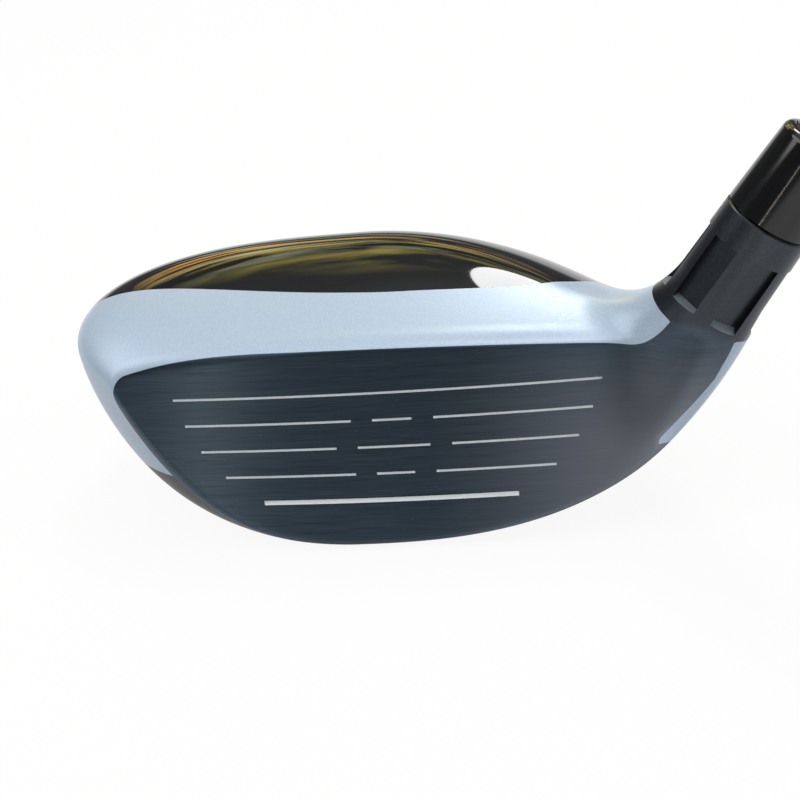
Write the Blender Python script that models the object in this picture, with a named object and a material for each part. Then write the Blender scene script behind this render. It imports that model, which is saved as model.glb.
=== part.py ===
"""Hybrid golf club: a hollow metal head with a face plate, a crown panel and a fluted hosel,
bonded to a tapered shaft with a ferrule and a rubber grip.

Metres, +Z up. +X runs from toe to heel, +Y from face to rear, and the origin is where the sole rests.
"""
import math

import bmesh
import bpy
import numpy as np
from mathutils import Matrix, Vector

# Club as a whole
CLUB_LENGTH = 1.016
LIE = 57.6

# Face: a flat leaning back by the loft and bowed from toe to heel
LOFT = 22.0
LEAD_Y = -0.0140
FACE_BULGE_R = 0.632

# Head form: a slice across the head is an oval of four curves through a front, top, rear and low point.
# Each pair holds a value at the centre and at the heel, and every slice closes in on the toe's tip.
TIP_X = -0.0599
TIP_Y = 0.0185
TIP_H = 0.0284
CENTRE_X = -0.0080
HEEL_X = 0.0380
FRONT_Y = (-0.0165, -0.0167)
FRONT_H = (0.0251, 0.0194)
TOP_Y = (0.0264, 0.0049)
TOP_H = (0.0393, 0.0313)
REAR_Y = (0.0447, 0.0275)
REAR_H = (0.0190, 0.0210)
LOW_Y = (-0.0034, 0.0031)
LOW_H = (-0.0006, 0.0080)

# How squarely the front, top, rear and low lines run in to the tip, and how late they turn to the heel
FRONT_SWELL = 1.56
TOP_SWELL = 2.92
REAR_SWELL = 2.59
LOW_SWELL = 2.52
TIP_DRIFT = 3.0
HEEL_EASE = 2.0
HEEL_ROUND = 3.0

# How full the four curves are at their upright and their level ends; at the tip they are round
TIP_FULL = 0.55
FULL_DRIFT = 2.0
FRONT_TOP_UPRIGHT = (0.124, 0.371)
FRONT_TOP_LEVEL = (0.158, 0.221)
REAR_TOP_UPRIGHT = (0.643, 0.471)
REAR_TOP_LEVEL = (0.340, 0.502)
REAR_LOW_UPRIGHT = (0.700, 0.700)
REAR_LOW_LEVEL = (0.500, 0.500)
FRONT_LOW_UPRIGHT = (0.912, 0.826)
FRONT_LOW_LEVEL = (1.149, 0.646)

# Hosel: a straight fluted socket on the shaft's line, and the neck that turns into it
HOSEL_X = 0.0295
HOSEL_Y = 0.0013
HOSEL_TOP = 0.0574
HOSEL_BASE = 0.0455
HOSEL_TOP_D = 0.0139
HOSEL_BASE_D = 0.0148
BORE_D = 0.0103
BORE_DEPTH = 0.0320
FLUTES = 6
FLUTE_TURN = -13.0
FLUTE_WIDTH = 0.0046
FLUTE_DEPTH = 0.0010
FLUTE_LOW = 0.0408
FLUTE_HIGH = 0.0526
NECK_LEAN = 0.0060
NECK_LEAVE = 0.0045
NECK_ARRIVE = 0.50
NECK_BULGE = 0.0018
NECK_BULGE_TURN = 280.0
NECK_BULGE_SPREAD = 50.0
NECK_BULGE_POWER = 1.3
NECK_LOW_TURN = -50.0
NECK_HIGH_TURN = 45.0

# Walls, ledges and clearances
WALL = 0.0024
LEDGE = 0.0026
SEAT = 0.0003
FIT = 0.0001

# Face plate, let into the front of the body
PLATE_THICK = 0.0026
PLATE_RIM = 0.0015
PLATE_TOE_X = -0.0455
PLATE_HEEL_X = 0.0365
PLATE_BACKING = 0.0015

# Score lines, lowest first: half lengths, and the half lengths of the bars between breaks
SCORE_DEPTH = 0.0004
SCORE_WIDTH = 0.0005
LOW_SCORE_WIDTH = 0.0008
SCORE_X = -0.0015
SCORE_LOW_H = 0.0081
SCORE_PITCH = 0.0042
SCORE_HALF = (0.0216, 0.0280, 0.0319, 0.0343, 0.0360)
SCORE_BAR_HALF = (None, 0.0032, 0.0061, 0.0033, None)
SCORE_BREAK = 0.0036

# Crown panel, seated on a ledge behind the front band; its front line sweeps back to both ends
PANEL_THICK = 0.0012
PANEL_FRONT_Y = 0.0112
PANEL_TOE_X = -0.0490
PANEL_TOE_SWEEP = 0.0068
PANEL_TOE_POWER = 1.5
PANEL_HEEL_X = 0.0300
PANEL_HEEL_SWEEP = 0.0030
PANEL_HEEL_POWER = 6.0
PANEL_RIM = 0.0060
PANEL_END_DRAW = 0.80
PANEL_END_POWER = 8.0

# Slot across the sole with its soft filler
SLOT_Y = -0.0050
SLOT_LENGTH = 0.0480
SLOT_WIDTH = 0.0034
FILLER_THICK = 0.0030

# Weight screw at the rear of the sole
WEIGHT_X = -0.0080
WEIGHT_Y = 0.0230
WEIGHT_D = 0.0120
WEIGHT_LENGTH = 0.0060
WEIGHT_SUNK = 0.0008
BOSS_WALL = 0.0022
HEX_ACROSS = 0.0040
HEX_DEPTH = 0.0030

# Ferrule, shaft and grip along the shaft's line
FERRULE_LENGTH = 0.0155
FERRULE_BASE_D = 0.0138
FERRULE_TOP_D = 0.0124
FERRULE_ROUND = 0.0012
SHAFT_TIP_D = 0.0094
SHAFT_BUTT_D = 0.0152
SHAFT_WALL = 0.0012
SHAFT_PARALLEL = 0.1200
PLUG_LENGTH = 0.0100
TAPE_THICK = 0.0003
GRIP_LENGTH = 0.2670
GRIP_MOUTH_D = 0.0200
GRIP_BUTT_D = 0.0270
CAP_THICK = 0.0040
CAP_SPIGOT = 0.0060
CAP_ROUND = 0.0020
VENT_D = 0.0030

# How finely curves are divided, and the small steps used to measure slopes and to merge points
SECTION_FACE = 6
SECTION_CROWN = 16
SECTION_SOLE = 14
CURVE_STEPS = 120
TOE_SECTIONS = 7
BODY_SECTIONS = 14
NECK_SECTIONS = 7
ROUND = 32
PLATE_STEPS = 20
PLATE_ROWS = 4
SCORE_STEPS = 8
PANEL_STEPS = 22
SLOPE_STEP = 0.0001
MERGE = 0.000001
SHARP_ANGLE = 30.0
SHOULDER_STEPS = 5
SHOULDER_TURN = 80.0

SHAFT_LINE = Vector((math.cos(math.radians(LIE)), 0.0, math.sin(math.radians(LIE))))
SHAFT_TIP = HOSEL_TOP - BORE_DEPTH + FIT
SHAFT_BUTT = CLUB_LENGTH - CAP_THICK - FIT
GRIP_MOUTH = CLUB_LENGTH - GRIP_LENGTH


def face_y(x, z):
    return LEAD_Y + z * math.tan(math.radians(LOFT)) + x * x / (2 * FACE_BULGE_R)


def swell(tip, values, x, power, heel_power=HEEL_EASE):
    """A size that closes in on the tip with a round end, and eases from the centre to the heel."""
    centre, heel = values
    if x < CENTRE_X:
        run = min((CENTRE_X - x) / (CENTRE_X - TIP_X), 1.0)
        return tip + (centre - tip) * math.sqrt(1 - run ** power)
    return centre + (heel - centre) * ((x - CENTRE_X) / (HEEL_X - CENTRE_X)) ** heel_power


def drift(tip, values, x, power):
    """A size that eases from the centre to the tip and to the heel."""
    centre, heel = values
    if x < CENTRE_X:
        return centre + (tip - centre) * min((CENTRE_X - x) / (CENTRE_X - TIP_X), 1.0) ** power
    return centre + (heel - centre) * ((x - CENTRE_X) / (HEEL_X - CENTRE_X)) ** HEEL_EASE


def bezier(points, steps):
    a, b, c, d = (np.array(p) for p in points)
    t = np.linspace(0.0, 1.0, steps + 1)[:, None]
    return (1 - t) ** 3 * a + 3 * (1 - t) ** 2 * t * b + 3 * (1 - t) * t ** 2 * c + t ** 3 * d


def quarter(x, upright, level, upright_full, level_full, steps):
    """A quarter of a slice, from the end where it stands upright to the end where it lies level."""
    rise = drift(TIP_FULL, upright_full, x, FULL_DRIFT) * (level[1] - upright[1])
    reach = drift(TIP_FULL, level_full, x, FULL_DRIFT) * (upright[0] - level[0])
    return bezier([upright, (upright[0], upright[1] + rise), (level[0] + reach, level[1]), level], steps)


def behind_face(x, curve, steps):
    """The stretch of a curve that lies behind the face; the curve starts at the front."""
    depth = np.array([y - face_y(x, z) for y, z in curve])
    t = np.linspace(0.0, 1.0, len(curve))
    start = 0.0
    if depth[0] < 0:
        after = int(np.argmax(depth > 0))
        start = np.interp(0.0, depth[after - 1:after + 1], t[after - 1:after + 1])
    keep = np.linspace(start, 1.0, steps + 1)
    return np.column_stack([np.interp(keep, t, curve[:, 0]), np.interp(keep, t, curve[:, 1])])


def rear_line(x):
    return swell(TIP_Y, REAR_Y, x, REAR_SWELL, HEEL_ROUND)


def front_point(x):
    return swell(TIP_Y, FRONT_Y, x, FRONT_SWELL), drift(TIP_H, FRONT_H, x, TIP_DRIFT)


def section(x):
    """One slice of the head: up the face, over the crown to the rear, and back under the sole."""
    front = front_point(x)
    top = (drift(TIP_Y, TOP_Y, x, TIP_DRIFT), swell(TIP_H, TOP_H, x, TOP_SWELL))
    rear = (rear_line(x), drift(TIP_H, REAR_H, x, TIP_DRIFT))
    low = (drift(TIP_Y, LOW_Y, x, TIP_DRIFT), swell(TIP_H, LOW_H, x, LOW_SWELL, HEEL_ROUND))
    crown_steps, sole_steps = SECTION_CROWN // 2, SECTION_SOLE // 2
    front_top = behind_face(
        x, quarter(x, front, top, FRONT_TOP_UPRIGHT, FRONT_TOP_LEVEL, CURVE_STEPS), crown_steps)
    rear_top = quarter(x, rear, top, REAR_TOP_UPRIGHT, REAR_TOP_LEVEL, crown_steps)[::-1]
    rear_low = quarter(x, rear, low, REAR_LOW_UPRIGHT, REAR_LOW_LEVEL, sole_steps)
    front_low = behind_face(
        x, quarter(x, front, low, FRONT_LOW_UPRIGHT, FRONT_LOW_LEVEL, CURVE_STEPS), sole_steps)[::-1]
    face = np.linspace(front_low[-1], front_top[0], SECTION_FACE + 1)
    loop = np.vstack([part[:-1] for part in (face, front_top, rear_top, rear_low, front_low)])
    return np.column_stack([np.full(len(loop), x), loop])


def face_low(x):
    return section(x)[0][2]


def face_high(x):
    return section(x)[SECTION_FACE][2]


def leaning_section(x):
    """A slice whose crown leans towards the toe as it nears the heel, to make room for the neck."""
    run = max(x - CENTRE_X, 0.0) / (HEEL_X - CENTRE_X)
    loop = section(x)
    for step in range(1, SECTION_CROWN):
        back = NECK_LEAN * run ** HEEL_EASE * math.sin(math.pi * step / SECTION_CROWN)
        loop[SECTION_FACE + step] = section(x - back)[SECTION_FACE + step]
    return loop


def face_toe():
    """Where the head's front line meets the face, which is the face's toe corner."""
    near, far = TIP_X, CENTRE_X
    while far - near > MERGE:
        x = (near + far) / 2
        ahead = front_point(x)[0] < face_y(x, front_point(x)[1])
        near, far = (near, x) if ahead else (x, far)
    return near


def head_sections():
    """Slices from the toe's tip to the face's toe corner, and on to the last one before the neck."""
    corner = face_toe()
    stops = [(TIP_X, corner, turn) for turn in np.linspace(0.0, math.pi / 2, TOE_SECTIONS + 1)[:-1]]
    stops += [(corner, HEEL_X, turn) for turn in np.linspace(0.0, math.pi / 2, BODY_SECTIONS + 1)]
    return [leaning_section(start + (end - start) * (1 - math.cos(turn))) for start, end, turn in stops]


def hosel_turns():
    """The turn about the shaft's line of each point of a slice: 0 faces forward and 90 the crown."""
    return np.concatenate([
        np.linspace(NECK_LOW_TURN, NECK_HIGH_TURN, SECTION_FACE + 1)[:-1],
        np.linspace(NECK_HIGH_TURN, 180.0, SECTION_CROWN + 1)[:-1],
        np.linspace(180.0, 360.0 + NECK_LOW_TURN, SECTION_SOLE + 1)[:-1]])


def hosel_ring(reach, diameter):
    """A ring round the shaft's line, its points in step with those of a head slice."""
    turns = np.radians(hosel_turns())[:, None]
    forward = np.array([0.0, -1.0, 0.0])
    inward = np.array([-SHAFT_LINE.z, 0.0, SHAFT_LINE.x])
    centre = np.array([HOSEL_X, HOSEL_Y, 0.0]) + reach * np.array(SHAFT_LINE)
    return centre + diameter / 2 * (np.cos(turns) * forward + np.sin(turns) * inward)


def neck_sections(last):
    """Slices that turn from the last head slice into the hosel's base ring, round at the heel."""
    leave = last - leaning_section(HEEL_X - SLOPE_STEP)
    leave = leave / np.linalg.norm(leave, axis=1)[:, None]
    arrive = np.array(SHAFT_LINE)
    ring_points = hosel_ring(HOSEL_BASE, HOSEL_BASE_D)
    outward = np.array([SHAFT_LINE.z, 0.0, -SHAFT_LINE.x])
    run = np.linspace(0.0, 1.0, NECK_SECTIONS + 1)[:, None]
    paths = []
    for start, end, out, turn in zip(last, ring_points, leave, hosel_turns()):
        turn_in = NECK_ARRIVE * np.linalg.norm(end - start) * arrive
        path = bezier([start, start + NECK_LEAVE * out, end - turn_in, end], NECK_SECTIONS)
        aside = (turn - NECK_BULGE_TURN + 180.0) % 360.0 - 180.0
        bulge = NECK_BULGE * math.exp(-(aside / NECK_BULGE_SPREAD) ** 2)
        paths.append(path + bulge * np.sin(math.pi * run ** NECK_BULGE_POWER) * outward)
    return list(np.array(paths).swapaxes(0, 1)[1:])


def lofted(loops, wrap=False):
    """Faces between rings of points; wrap joins the last ring to the first, else both ends are closed."""
    bm = bmesh.new()
    rings = [[bm.verts.new(p) for p in loop] for loop in loops]
    pairs = list(zip(rings, rings[1:]))
    if wrap:
        pairs.append((rings[-1], rings[0]))
    for one, two in pairs:
        for i in range(len(one)):
            j = (i + 1) % len(one)
            bm.faces.new((one[i], one[j], two[j], two[i]))
    if not wrap:
        for end in (rings[0], rings[-1]):
            middle = bm.verts.new(sum((v.co for v in end), Vector()) / len(end))
            for i in range(len(end)):
                bm.faces.new((end[i], end[(i + 1) % len(end)], middle))
    return closed(bm)


def closed(bm):
    bmesh.ops.remove_doubles(bm, verts=bm.verts, dist=MERGE)
    bmesh.ops.recalc_face_normals(bm, faces=bm.faces)
    bm.normal_update()
    return bm


def inset(bm, distance):
    """Move every point inwards along its normal; distance is a function of the point."""
    moves = [(vert, vert.normal * distance(vert.co)) for vert in bm.verts]
    for vert, move in moves:
        vert.co -= move
    return bm


def head_skin(depth=0.0):
    """The whole outside of the head, or the same form drawn in by a depth."""
    slices = head_sections()
    loops = slices + neck_sections(slices[-1]) + [hosel_ring(HOSEL_TOP, HOSEL_TOP_D)]
    return inset(lofted(loops), lambda point: depth)


def cavity_skin():
    """The hollow: the head without its neck, drawn in by the wall, and further behind the face."""
    behind = PLATE_THICK + SEAT + PLATE_BACKING

    def depth(point):
        on_face = abs(point.y - face_y(point.x, point.z)) < MERGE
        return behind if on_face else WALL

    return inset(lofted(head_sections()), depth)


def face_slab(low, high, toe, heel, front, back, steps, rows=1):
    """A slab that follows the bowed face between two edges, from one depth behind it to another."""
    loft = math.radians(LOFT)
    loops = []
    for x in np.linspace(toe, heel, steps + 1):
        heights = np.linspace(low(x), high(x), rows + 1)
        loop = []
        for depth, column in ((front, heights), (back, heights[::-1])):
            for z in column:
                loop.append((x, face_y(x, z) + depth * math.cos(loft), z - depth * math.sin(loft)))
        loops.append(loop)
    return lofted(loops)


def moved_edge(edge, margin):
    """A face edge moved square to itself; a positive margin moves it up."""
    def moved(x):
        slope = (edge(x + SLOPE_STEP) - edge(x)) / SLOPE_STEP
        return edge(x) + margin * math.sqrt(1 + slope * slope)

    return moved


def plate_slab(margin, front, back):
    """A slab in the plate's outline, drawn in by a margin from the edge of the face."""
    low = moved_edge(face_low, margin)
    high = moved_edge(face_high, -margin)
    toe = PLATE_TOE_X + margin - PLATE_RIM
    while high(toe) - low(toe) < LEDGE:
        toe += SLOPE_STEP
    heel = PLATE_HEEL_X - margin + PLATE_RIM
    return face_slab(low, high, toe, heel, front, back, PLATE_STEPS, PLATE_ROWS)


def panel_prism(margin):
    """An upright block over the crown panel's outline, drawn in by a margin."""
    middle = (PANEL_TOE_X + PANEL_HEEL_X) / 2
    half = (PANEL_HEEL_X - PANEL_TOE_X) / 2
    bottom = REAR_H[0] + WALL
    top = TOP_H[0] + WALL
    loops = []
    for x in np.linspace(PANEL_TOE_X + margin, PANEL_HEEL_X - margin, PANEL_STEPS + 1):
        if x < 0:
            front = PANEL_FRONT_Y + PANEL_TOE_SWEEP * (x / PANEL_TOE_X) ** PANEL_TOE_POWER
        else:
            front = PANEL_FRONT_Y + PANEL_HEEL_SWEEP * (x / PANEL_HEEL_X) ** PANEL_HEEL_POWER
        depth = rear_line(x) - PANEL_RIM - front
        back = front + depth * math.sqrt(1 - PANEL_END_DRAW * abs((x - middle) / half) ** PANEL_END_POWER)
        loops.append([(x, front + margin, bottom), (x, back - margin, bottom),
                      (x, back - margin, top), (x, front + margin, top)])
    return lofted(loops)


def stadium(length, width, low, high):
    """An upright bar with round ends, for the sole slot and its filler."""
    radius = width / 2
    loop = []
    for side in (1, -1):
        for turn in np.radians(np.linspace(-90, 90, ROUND // 4 + 1)):
            loop.append((side * (length / 2 - radius + radius * math.cos(turn)),
                         SLOT_Y + side * radius * math.sin(turn)))
    return lofted([[(x, y, z) for x, y in loop] for z in (low, high)])


def ring(radius, height, sides=ROUND):
    turns = np.linspace(0, 2 * math.pi, sides, endpoint=False)
    return [(radius * math.cos(turn), radius * math.sin(turn), height) for turn in turns]


def rod(radius, low, high, sides=ROUND):
    return lofted([ring(radius, low, sides), ring(radius, high, sides)])


def tube(profile):
    """A turned hollow solid: the profile is a closed line of radius and reach."""
    return lofted([ring(radius, reach) for radius, reach in profile], wrap=True)


def mesh_object(name, bm, material=None, parent=None):
    """An object from a mesh; without a material it is a cutter, which isn't part of the model."""
    mesh = bpy.data.meshes.new(name)
    closed(bm).to_mesh(mesh)
    bm.free()
    obj = bpy.data.objects.new(name, mesh)
    bpy.context.scene.collection.objects.link(obj)
    obj.parent = parent
    if material is None:
        obj.hide_render = True
        obj.display_type = "WIRE"
    else:
        mesh.materials.append(material)
        mesh.shade_smooth()
        mesh.set_sharp_from_angle(angle=math.radians(SHARP_ANGLE))
    return obj


def finish(name, colour, roughness, metallic):
    material = bpy.data.materials.new(name)
    material.use_nodes = True
    shader = material.node_tree.nodes["Principled BSDF"]
    shader.inputs["Base Color"].default_value = (*colour, 1.0)
    shader.inputs["Roughness"].default_value = roughness
    shader.inputs["Metallic"].default_value = metallic
    return material


def block(low, high):
    """A wide block between two heights that takes in the whole sole."""
    bm = bmesh.new()
    width = 2 * (HOSEL_TOP - TIP_X)
    size = Matrix.Diagonal((width, width, high - low, 1.0))
    bmesh.ops.create_cube(bm, size=1.0, matrix=Matrix.Translation((0.0, 0.0, (low + high) / 2)) @ size)
    return bm


def flute_blocks():
    """Blocks that cut the shallow flutes round the hosel, standing on the shaft's line."""
    bm = bmesh.new()
    reach = HOSEL_TOP_D / 2 - FLUTE_DEPTH + HOSEL_BASE_D / 4
    size = Matrix.Diagonal((HOSEL_BASE_D / 2, FLUTE_WIDTH, FLUTE_HIGH - FLUTE_LOW, 1.0))
    place = Matrix.Translation((reach, 0.0, (FLUTE_LOW + FLUTE_HIGH) / 2)) @ size
    for number in range(FLUTES):
        turn = Matrix.Rotation(math.radians(-90 - FLUTE_TURN - number * 360 / FLUTES), 4, "Z")
        bmesh.ops.create_cube(bm, size=1.0, matrix=turn @ place)
    return bm


def score_bars():
    """Bars that cut the score lines, each following the bow of the face."""
    bm = bmesh.new()
    for row, (half, bar) in enumerate(zip(SCORE_HALF, SCORE_BAR_HALF)):
        middle = SCORE_LOW_H + row * SCORE_PITCH
        width = LOW_SCORE_WIDTH if row == 0 else SCORE_WIDTH
        toe, heel = SCORE_X - half, SCORE_X + half
        spans = [(toe, heel)]
        if bar:
            spans = [(toe, -bar - SCORE_BREAK), (-bar, bar), (bar + SCORE_BREAK, heel)]
        for start, end in spans:
            slab = face_slab(lambda x: middle - width / 2, lambda x: middle + width / 2,
                             start, end, -SCORE_DEPTH, SCORE_DEPTH, SCORE_STEPS)
            piece = bpy.data.meshes.new("score_bar")
            slab.to_mesh(piece)
            slab.free()
            bm.from_mesh(piece)
            bpy.data.meshes.remove(piece)
    return bm


def boolean(obj, operation, cutter):
    modifier = obj.modifiers.new(cutter.name, "BOOLEAN")
    modifier.operation = operation
    modifier.object = cutter


def cut(obj, *cutters):
    for cutter in cutters:
        boolean(obj, "DIFFERENCE", cutter)
    return obj


def empty(name, location, rotation):
    obj = bpy.data.objects.new(name, None)
    bpy.context.scene.collection.objects.link(obj)
    obj.location = location
    obj.rotation_euler = rotation
    return obj


def sole_height(x, y):
    under = section(x)[SECTION_FACE + SECTION_CROWN:][::-1]
    return float(np.interp(y, under[:, 1], under[:, 2]))


def shaft_radius(reach):
    run = max(reach - SHAFT_TIP - SHAFT_PARALLEL, 0.0) / (SHAFT_BUTT - SHAFT_TIP - SHAFT_PARALLEL)
    return (SHAFT_TIP_D + (SHAFT_BUTT_D - SHAFT_TIP_D) * run) / 2


def tape_radius(reach):
    return shaft_radius(reach) + FIT + TAPE_THICK


def grip_radius(reach):
    run = (reach - GRIP_MOUTH) / (SHAFT_BUTT - GRIP_MOUTH)
    return (GRIP_MOUTH_D + (GRIP_BUTT_D - GRIP_MOUTH_D) * run) / 2


def sleeve(inner, outer):
    """A tube under or along the grip, a fit clear of what it is pushed over."""
    low, high = GRIP_MOUTH, SHAFT_BUTT
    return tube([(inner(low) + FIT, low), (outer(low), low), (outer(high), high), (inner(high) + FIT, high)])


for old in list(bpy.data.objects):
    bpy.data.objects.remove(old, do_unlink=True)

pearl_silver = finish("pearl_silver", (0.62, 0.67, 0.71), 0.35, 0.6)
brushed_black = finish("brushed_black", (0.03, 0.03, 0.035), 0.4, 0.9)
gloss_black = finish("gloss_black", (0.01, 0.01, 0.012), 0.1, 0.0)
black_polymer = finish("black_polymer", (0.02, 0.02, 0.02), 0.5, 0.0)
steel = finish("steel", (0.55, 0.55, 0.56), 0.35, 1.0)
resin = finish("resin", (0.6, 0.5, 0.3), 0.4, 0.0)
rubber = finish("rubber", (0.02, 0.02, 0.02), 0.75, 0.0)
carbon_black = finish("carbon_black", (0.015, 0.015, 0.017), 0.2, 0.0)
paper_tape = finish("paper_tape", (0.75, 0.7, 0.6), 0.8, 0.0)

# What pieces stand on: the shaft's line from the ground up, and the weight's seat square to the sole
shaft_line = empty("shaft_line", (HOSEL_X, HOSEL_Y, 0.0), (0.0, math.radians(90.0 - LIE), 0.0))
weight_r = WEIGHT_D / 2
seat_rise = sole_height(WEIGHT_X, WEIGHT_Y + weight_r) - sole_height(WEIGHT_X, WEIGHT_Y - weight_r)
weight_seat = empty("weight_seat", (WEIGHT_X, WEIGHT_Y, sole_height(WEIGHT_X, WEIGHT_Y)),
                    (math.atan(seat_rise / WEIGHT_D), 0.0, 0.0))

# Head body: the outer skin, hollowed, and opened for the other pieces of the head and for the shaft
weight_top = WEIGHT_SUNK + WEIGHT_LENGTH
hole_r = weight_r + SEAT
ground = mesh_object("ground", block(-WALL, 0.0))
floor = mesh_object("floor", block(-WALL, WALL))
boss = mesh_object("boss", rod(hole_r + BOSS_WALL, -WALL, weight_top + SEAT + WALL), parent=weight_seat)
cavity = cut(mesh_object("cavity", cavity_skin()), floor, boss)
panel_bed = cut(mesh_object("panel_bed", panel_prism(0.0)),
                mesh_object("panel_bed_floor", head_skin(PANEL_THICK + SEAT)))
panel_window = mesh_object("panel_window", panel_prism(LEDGE))
plate_pocket = mesh_object("plate_pocket", plate_slab(PLATE_RIM - SEAT, -LEDGE, PLATE_THICK + SEAT))
plate_window = mesh_object("plate_window", plate_slab(
    PLATE_RIM + LEDGE, -LEDGE, PLATE_THICK + PLATE_BACKING + WALL))
slot = mesh_object("slot", stadium(SLOT_LENGTH, SLOT_WIDTH, -WALL, FILLER_THICK + WALL))
weight_hole = mesh_object("weight_hole", rod(hole_r, -WALL, weight_top + SEAT), parent=weight_seat)
bore = mesh_object("bore", rod(BORE_D / 2, HOSEL_TOP - BORE_DEPTH, HOSEL_TOP + WALL), parent=shaft_line)
flutes = mesh_object("flutes", flute_blocks(), parent=shaft_line)
head_body = cut(mesh_object("head_body", head_skin(), pearl_silver), cavity, panel_bed, panel_window,
                plate_pocket, plate_window, slot, weight_hole, bore, flutes, ground)

# Face plate with its score lines; the middle three rows are broken to frame the sweet spot
score_lines = mesh_object("score_lines", score_bars())
face_plate = mesh_object("face_plate", plate_slab(PLATE_RIM, 0.0, PLATE_THICK), brushed_black)
cut(face_plate, score_lines)

# Crown panel: a thin piece of the same skin, a seat clear of its bed all round
crown_panel = mesh_object("crown_panel", head_skin(), gloss_black)
boolean(crown_panel, "INTERSECT", mesh_object("panel_outline", panel_prism(SEAT)))
cut(crown_panel, mesh_object("panel_underside", head_skin(PANEL_THICK)))

# Slot filler: a soft strip flush with the sole
slot_filler = mesh_object("slot_filler", head_skin(), black_polymer)
boolean(slot_filler, "INTERSECT", mesh_object(
    "filler_outline", stadium(SLOT_LENGTH - 2 * SEAT, SLOT_WIDTH - 2 * SEAT, -WALL, FILLER_THICK)))
cut(slot_filler, ground)

# Weight screw, driven by a hexagon key
hex_socket = mesh_object("hex_socket", rod(
    HEX_ACROSS / math.sqrt(3), WEIGHT_SUNK - WALL, WEIGHT_SUNK + HEX_DEPTH, 6), parent=weight_seat)
sole_weight = mesh_object("sole_weight", rod(weight_r, WEIGHT_SUNK, weight_top), steel, weight_seat)
cut(sole_weight, hex_socket)

# Shaft and what bonds and plugs its tip
tip_r = SHAFT_TIP_D / 2
mesh_object("hosel_epoxy", tube([
    (tip_r + FIT, SHAFT_TIP), (BORE_D / 2 - FIT, SHAFT_TIP),
    (BORE_D / 2 - FIT, HOSEL_TOP), (tip_r + FIT, HOSEL_TOP)]), resin, shaft_line)
stops = [SHAFT_TIP, SHAFT_TIP + SHAFT_PARALLEL, GRIP_MOUTH, SHAFT_BUTT]
outside = [(shaft_radius(stop), stop) for stop in stops]
inside = [(radius - SHAFT_WALL, stop) for radius, stop in reversed(outside)]
mesh_object("shaft", tube(outside + inside), carbon_black, shaft_line)
plug_r = tip_r - SHAFT_WALL - FIT
mesh_object("tip_plug", rod(plug_r, SHAFT_TIP, SHAFT_TIP + PLUG_LENGTH), black_polymer, shaft_line)

# Ferrule: a tapered collar with a rounded shoulder over the joint of hosel and shaft
ferrule_in = tip_r + FIT
ferrule_top = HOSEL_TOP + FERRULE_LENGTH
shoulder = []
for turn in np.linspace(0.0, math.radians(SHOULDER_TURN), SHOULDER_STEPS):
    shoulder.append((FERRULE_TOP_D / 2 - FERRULE_ROUND * (1 - math.cos(turn)),
                     ferrule_top - FERRULE_ROUND * (1 - math.sin(turn))))
base = [(ferrule_in, HOSEL_TOP + FIT), (FERRULE_BASE_D / 2, HOSEL_TOP + FIT)]
mesh_object("ferrule", tube(base + shoulder + [(ferrule_in, shoulder[-1][1])]), gloss_black, shaft_line)

# Grip, the tape under it, and the cap that closes the butt
mesh_object("grip_tape", sleeve(shaft_radius, tape_radius), paper_tape, shaft_line)
mesh_object("grip", sleeve(tape_radius, grip_radius), rubber, shaft_line)
spigot_r = shaft_radius(SHAFT_BUTT) - SHAFT_WALL - FIT
cap_r = GRIP_BUTT_D / 2
cap_low = CLUB_LENGTH - CAP_THICK
mesh_object("grip_cap", tube([
    (VENT_D / 2, CLUB_LENGTH), (cap_r - CAP_ROUND, CLUB_LENGTH), (cap_r, CLUB_LENGTH - CAP_ROUND),
    (cap_r, cap_low), (spigot_r, cap_low), (spigot_r, cap_low - CAP_SPIGOT),
    (VENT_D / 2, cap_low - CAP_SPIGOT)]), rubber, shaft_line)
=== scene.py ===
"""Looks of the hybrid golf club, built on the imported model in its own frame, in metres."""
import math

import bmesh
import bpy
import numpy as np
from mathutils import Matrix, Vector


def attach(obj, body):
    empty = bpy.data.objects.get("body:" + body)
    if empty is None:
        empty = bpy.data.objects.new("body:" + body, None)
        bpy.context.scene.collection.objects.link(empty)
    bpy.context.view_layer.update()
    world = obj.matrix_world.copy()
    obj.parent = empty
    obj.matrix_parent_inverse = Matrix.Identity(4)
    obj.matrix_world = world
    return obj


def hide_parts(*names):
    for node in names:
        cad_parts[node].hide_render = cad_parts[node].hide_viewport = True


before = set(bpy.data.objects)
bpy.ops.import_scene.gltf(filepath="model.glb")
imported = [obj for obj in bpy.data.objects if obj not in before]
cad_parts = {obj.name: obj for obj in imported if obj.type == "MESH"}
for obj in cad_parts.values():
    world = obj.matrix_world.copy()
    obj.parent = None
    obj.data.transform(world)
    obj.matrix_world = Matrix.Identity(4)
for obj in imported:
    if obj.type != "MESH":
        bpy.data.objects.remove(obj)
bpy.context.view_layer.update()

bpy.ops.object.select_all(action="DESELECT")

# Head casting. A hollow steel casting with its neck and hosel in one piece: satin pearl paint in front, gloss
# black lacquer behind, satin black under the sole and on the hosel, bare brushed metal round the face.
LIE, LOFT = math.radians(57.6), math.radians(22.0)
LEAD_Y, FACE_BULGE_R = -0.0140, 0.632
TIP = (-0.0599, 0.0185, 0.0284)
CENTRE_X, HEEL_X, TIP_FULL = -0.0080, 0.0380, 0.55
FRONT_Y, FRONT_H = (-0.0165, -0.0167), (0.0251, 0.0194)
TOP_Y, TOP_H = (0.0264, 0.0049), (0.0393, 0.0313)
REAR_Y, REAR_H = (0.0447, 0.0275), (0.0190, 0.0210)
LOW_Y, LOW_H = (-0.0034, 0.0031), (-0.0006, 0.0080)
FRONT_TOP_FULL = ((0.124, 0.371), (0.158, 0.221))
REAR_TOP_FULL = ((0.643, 0.471), (0.340, 0.502))
REAR_LOW_FULL = ((0.700, 0.700), (0.500, 0.500))
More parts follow.
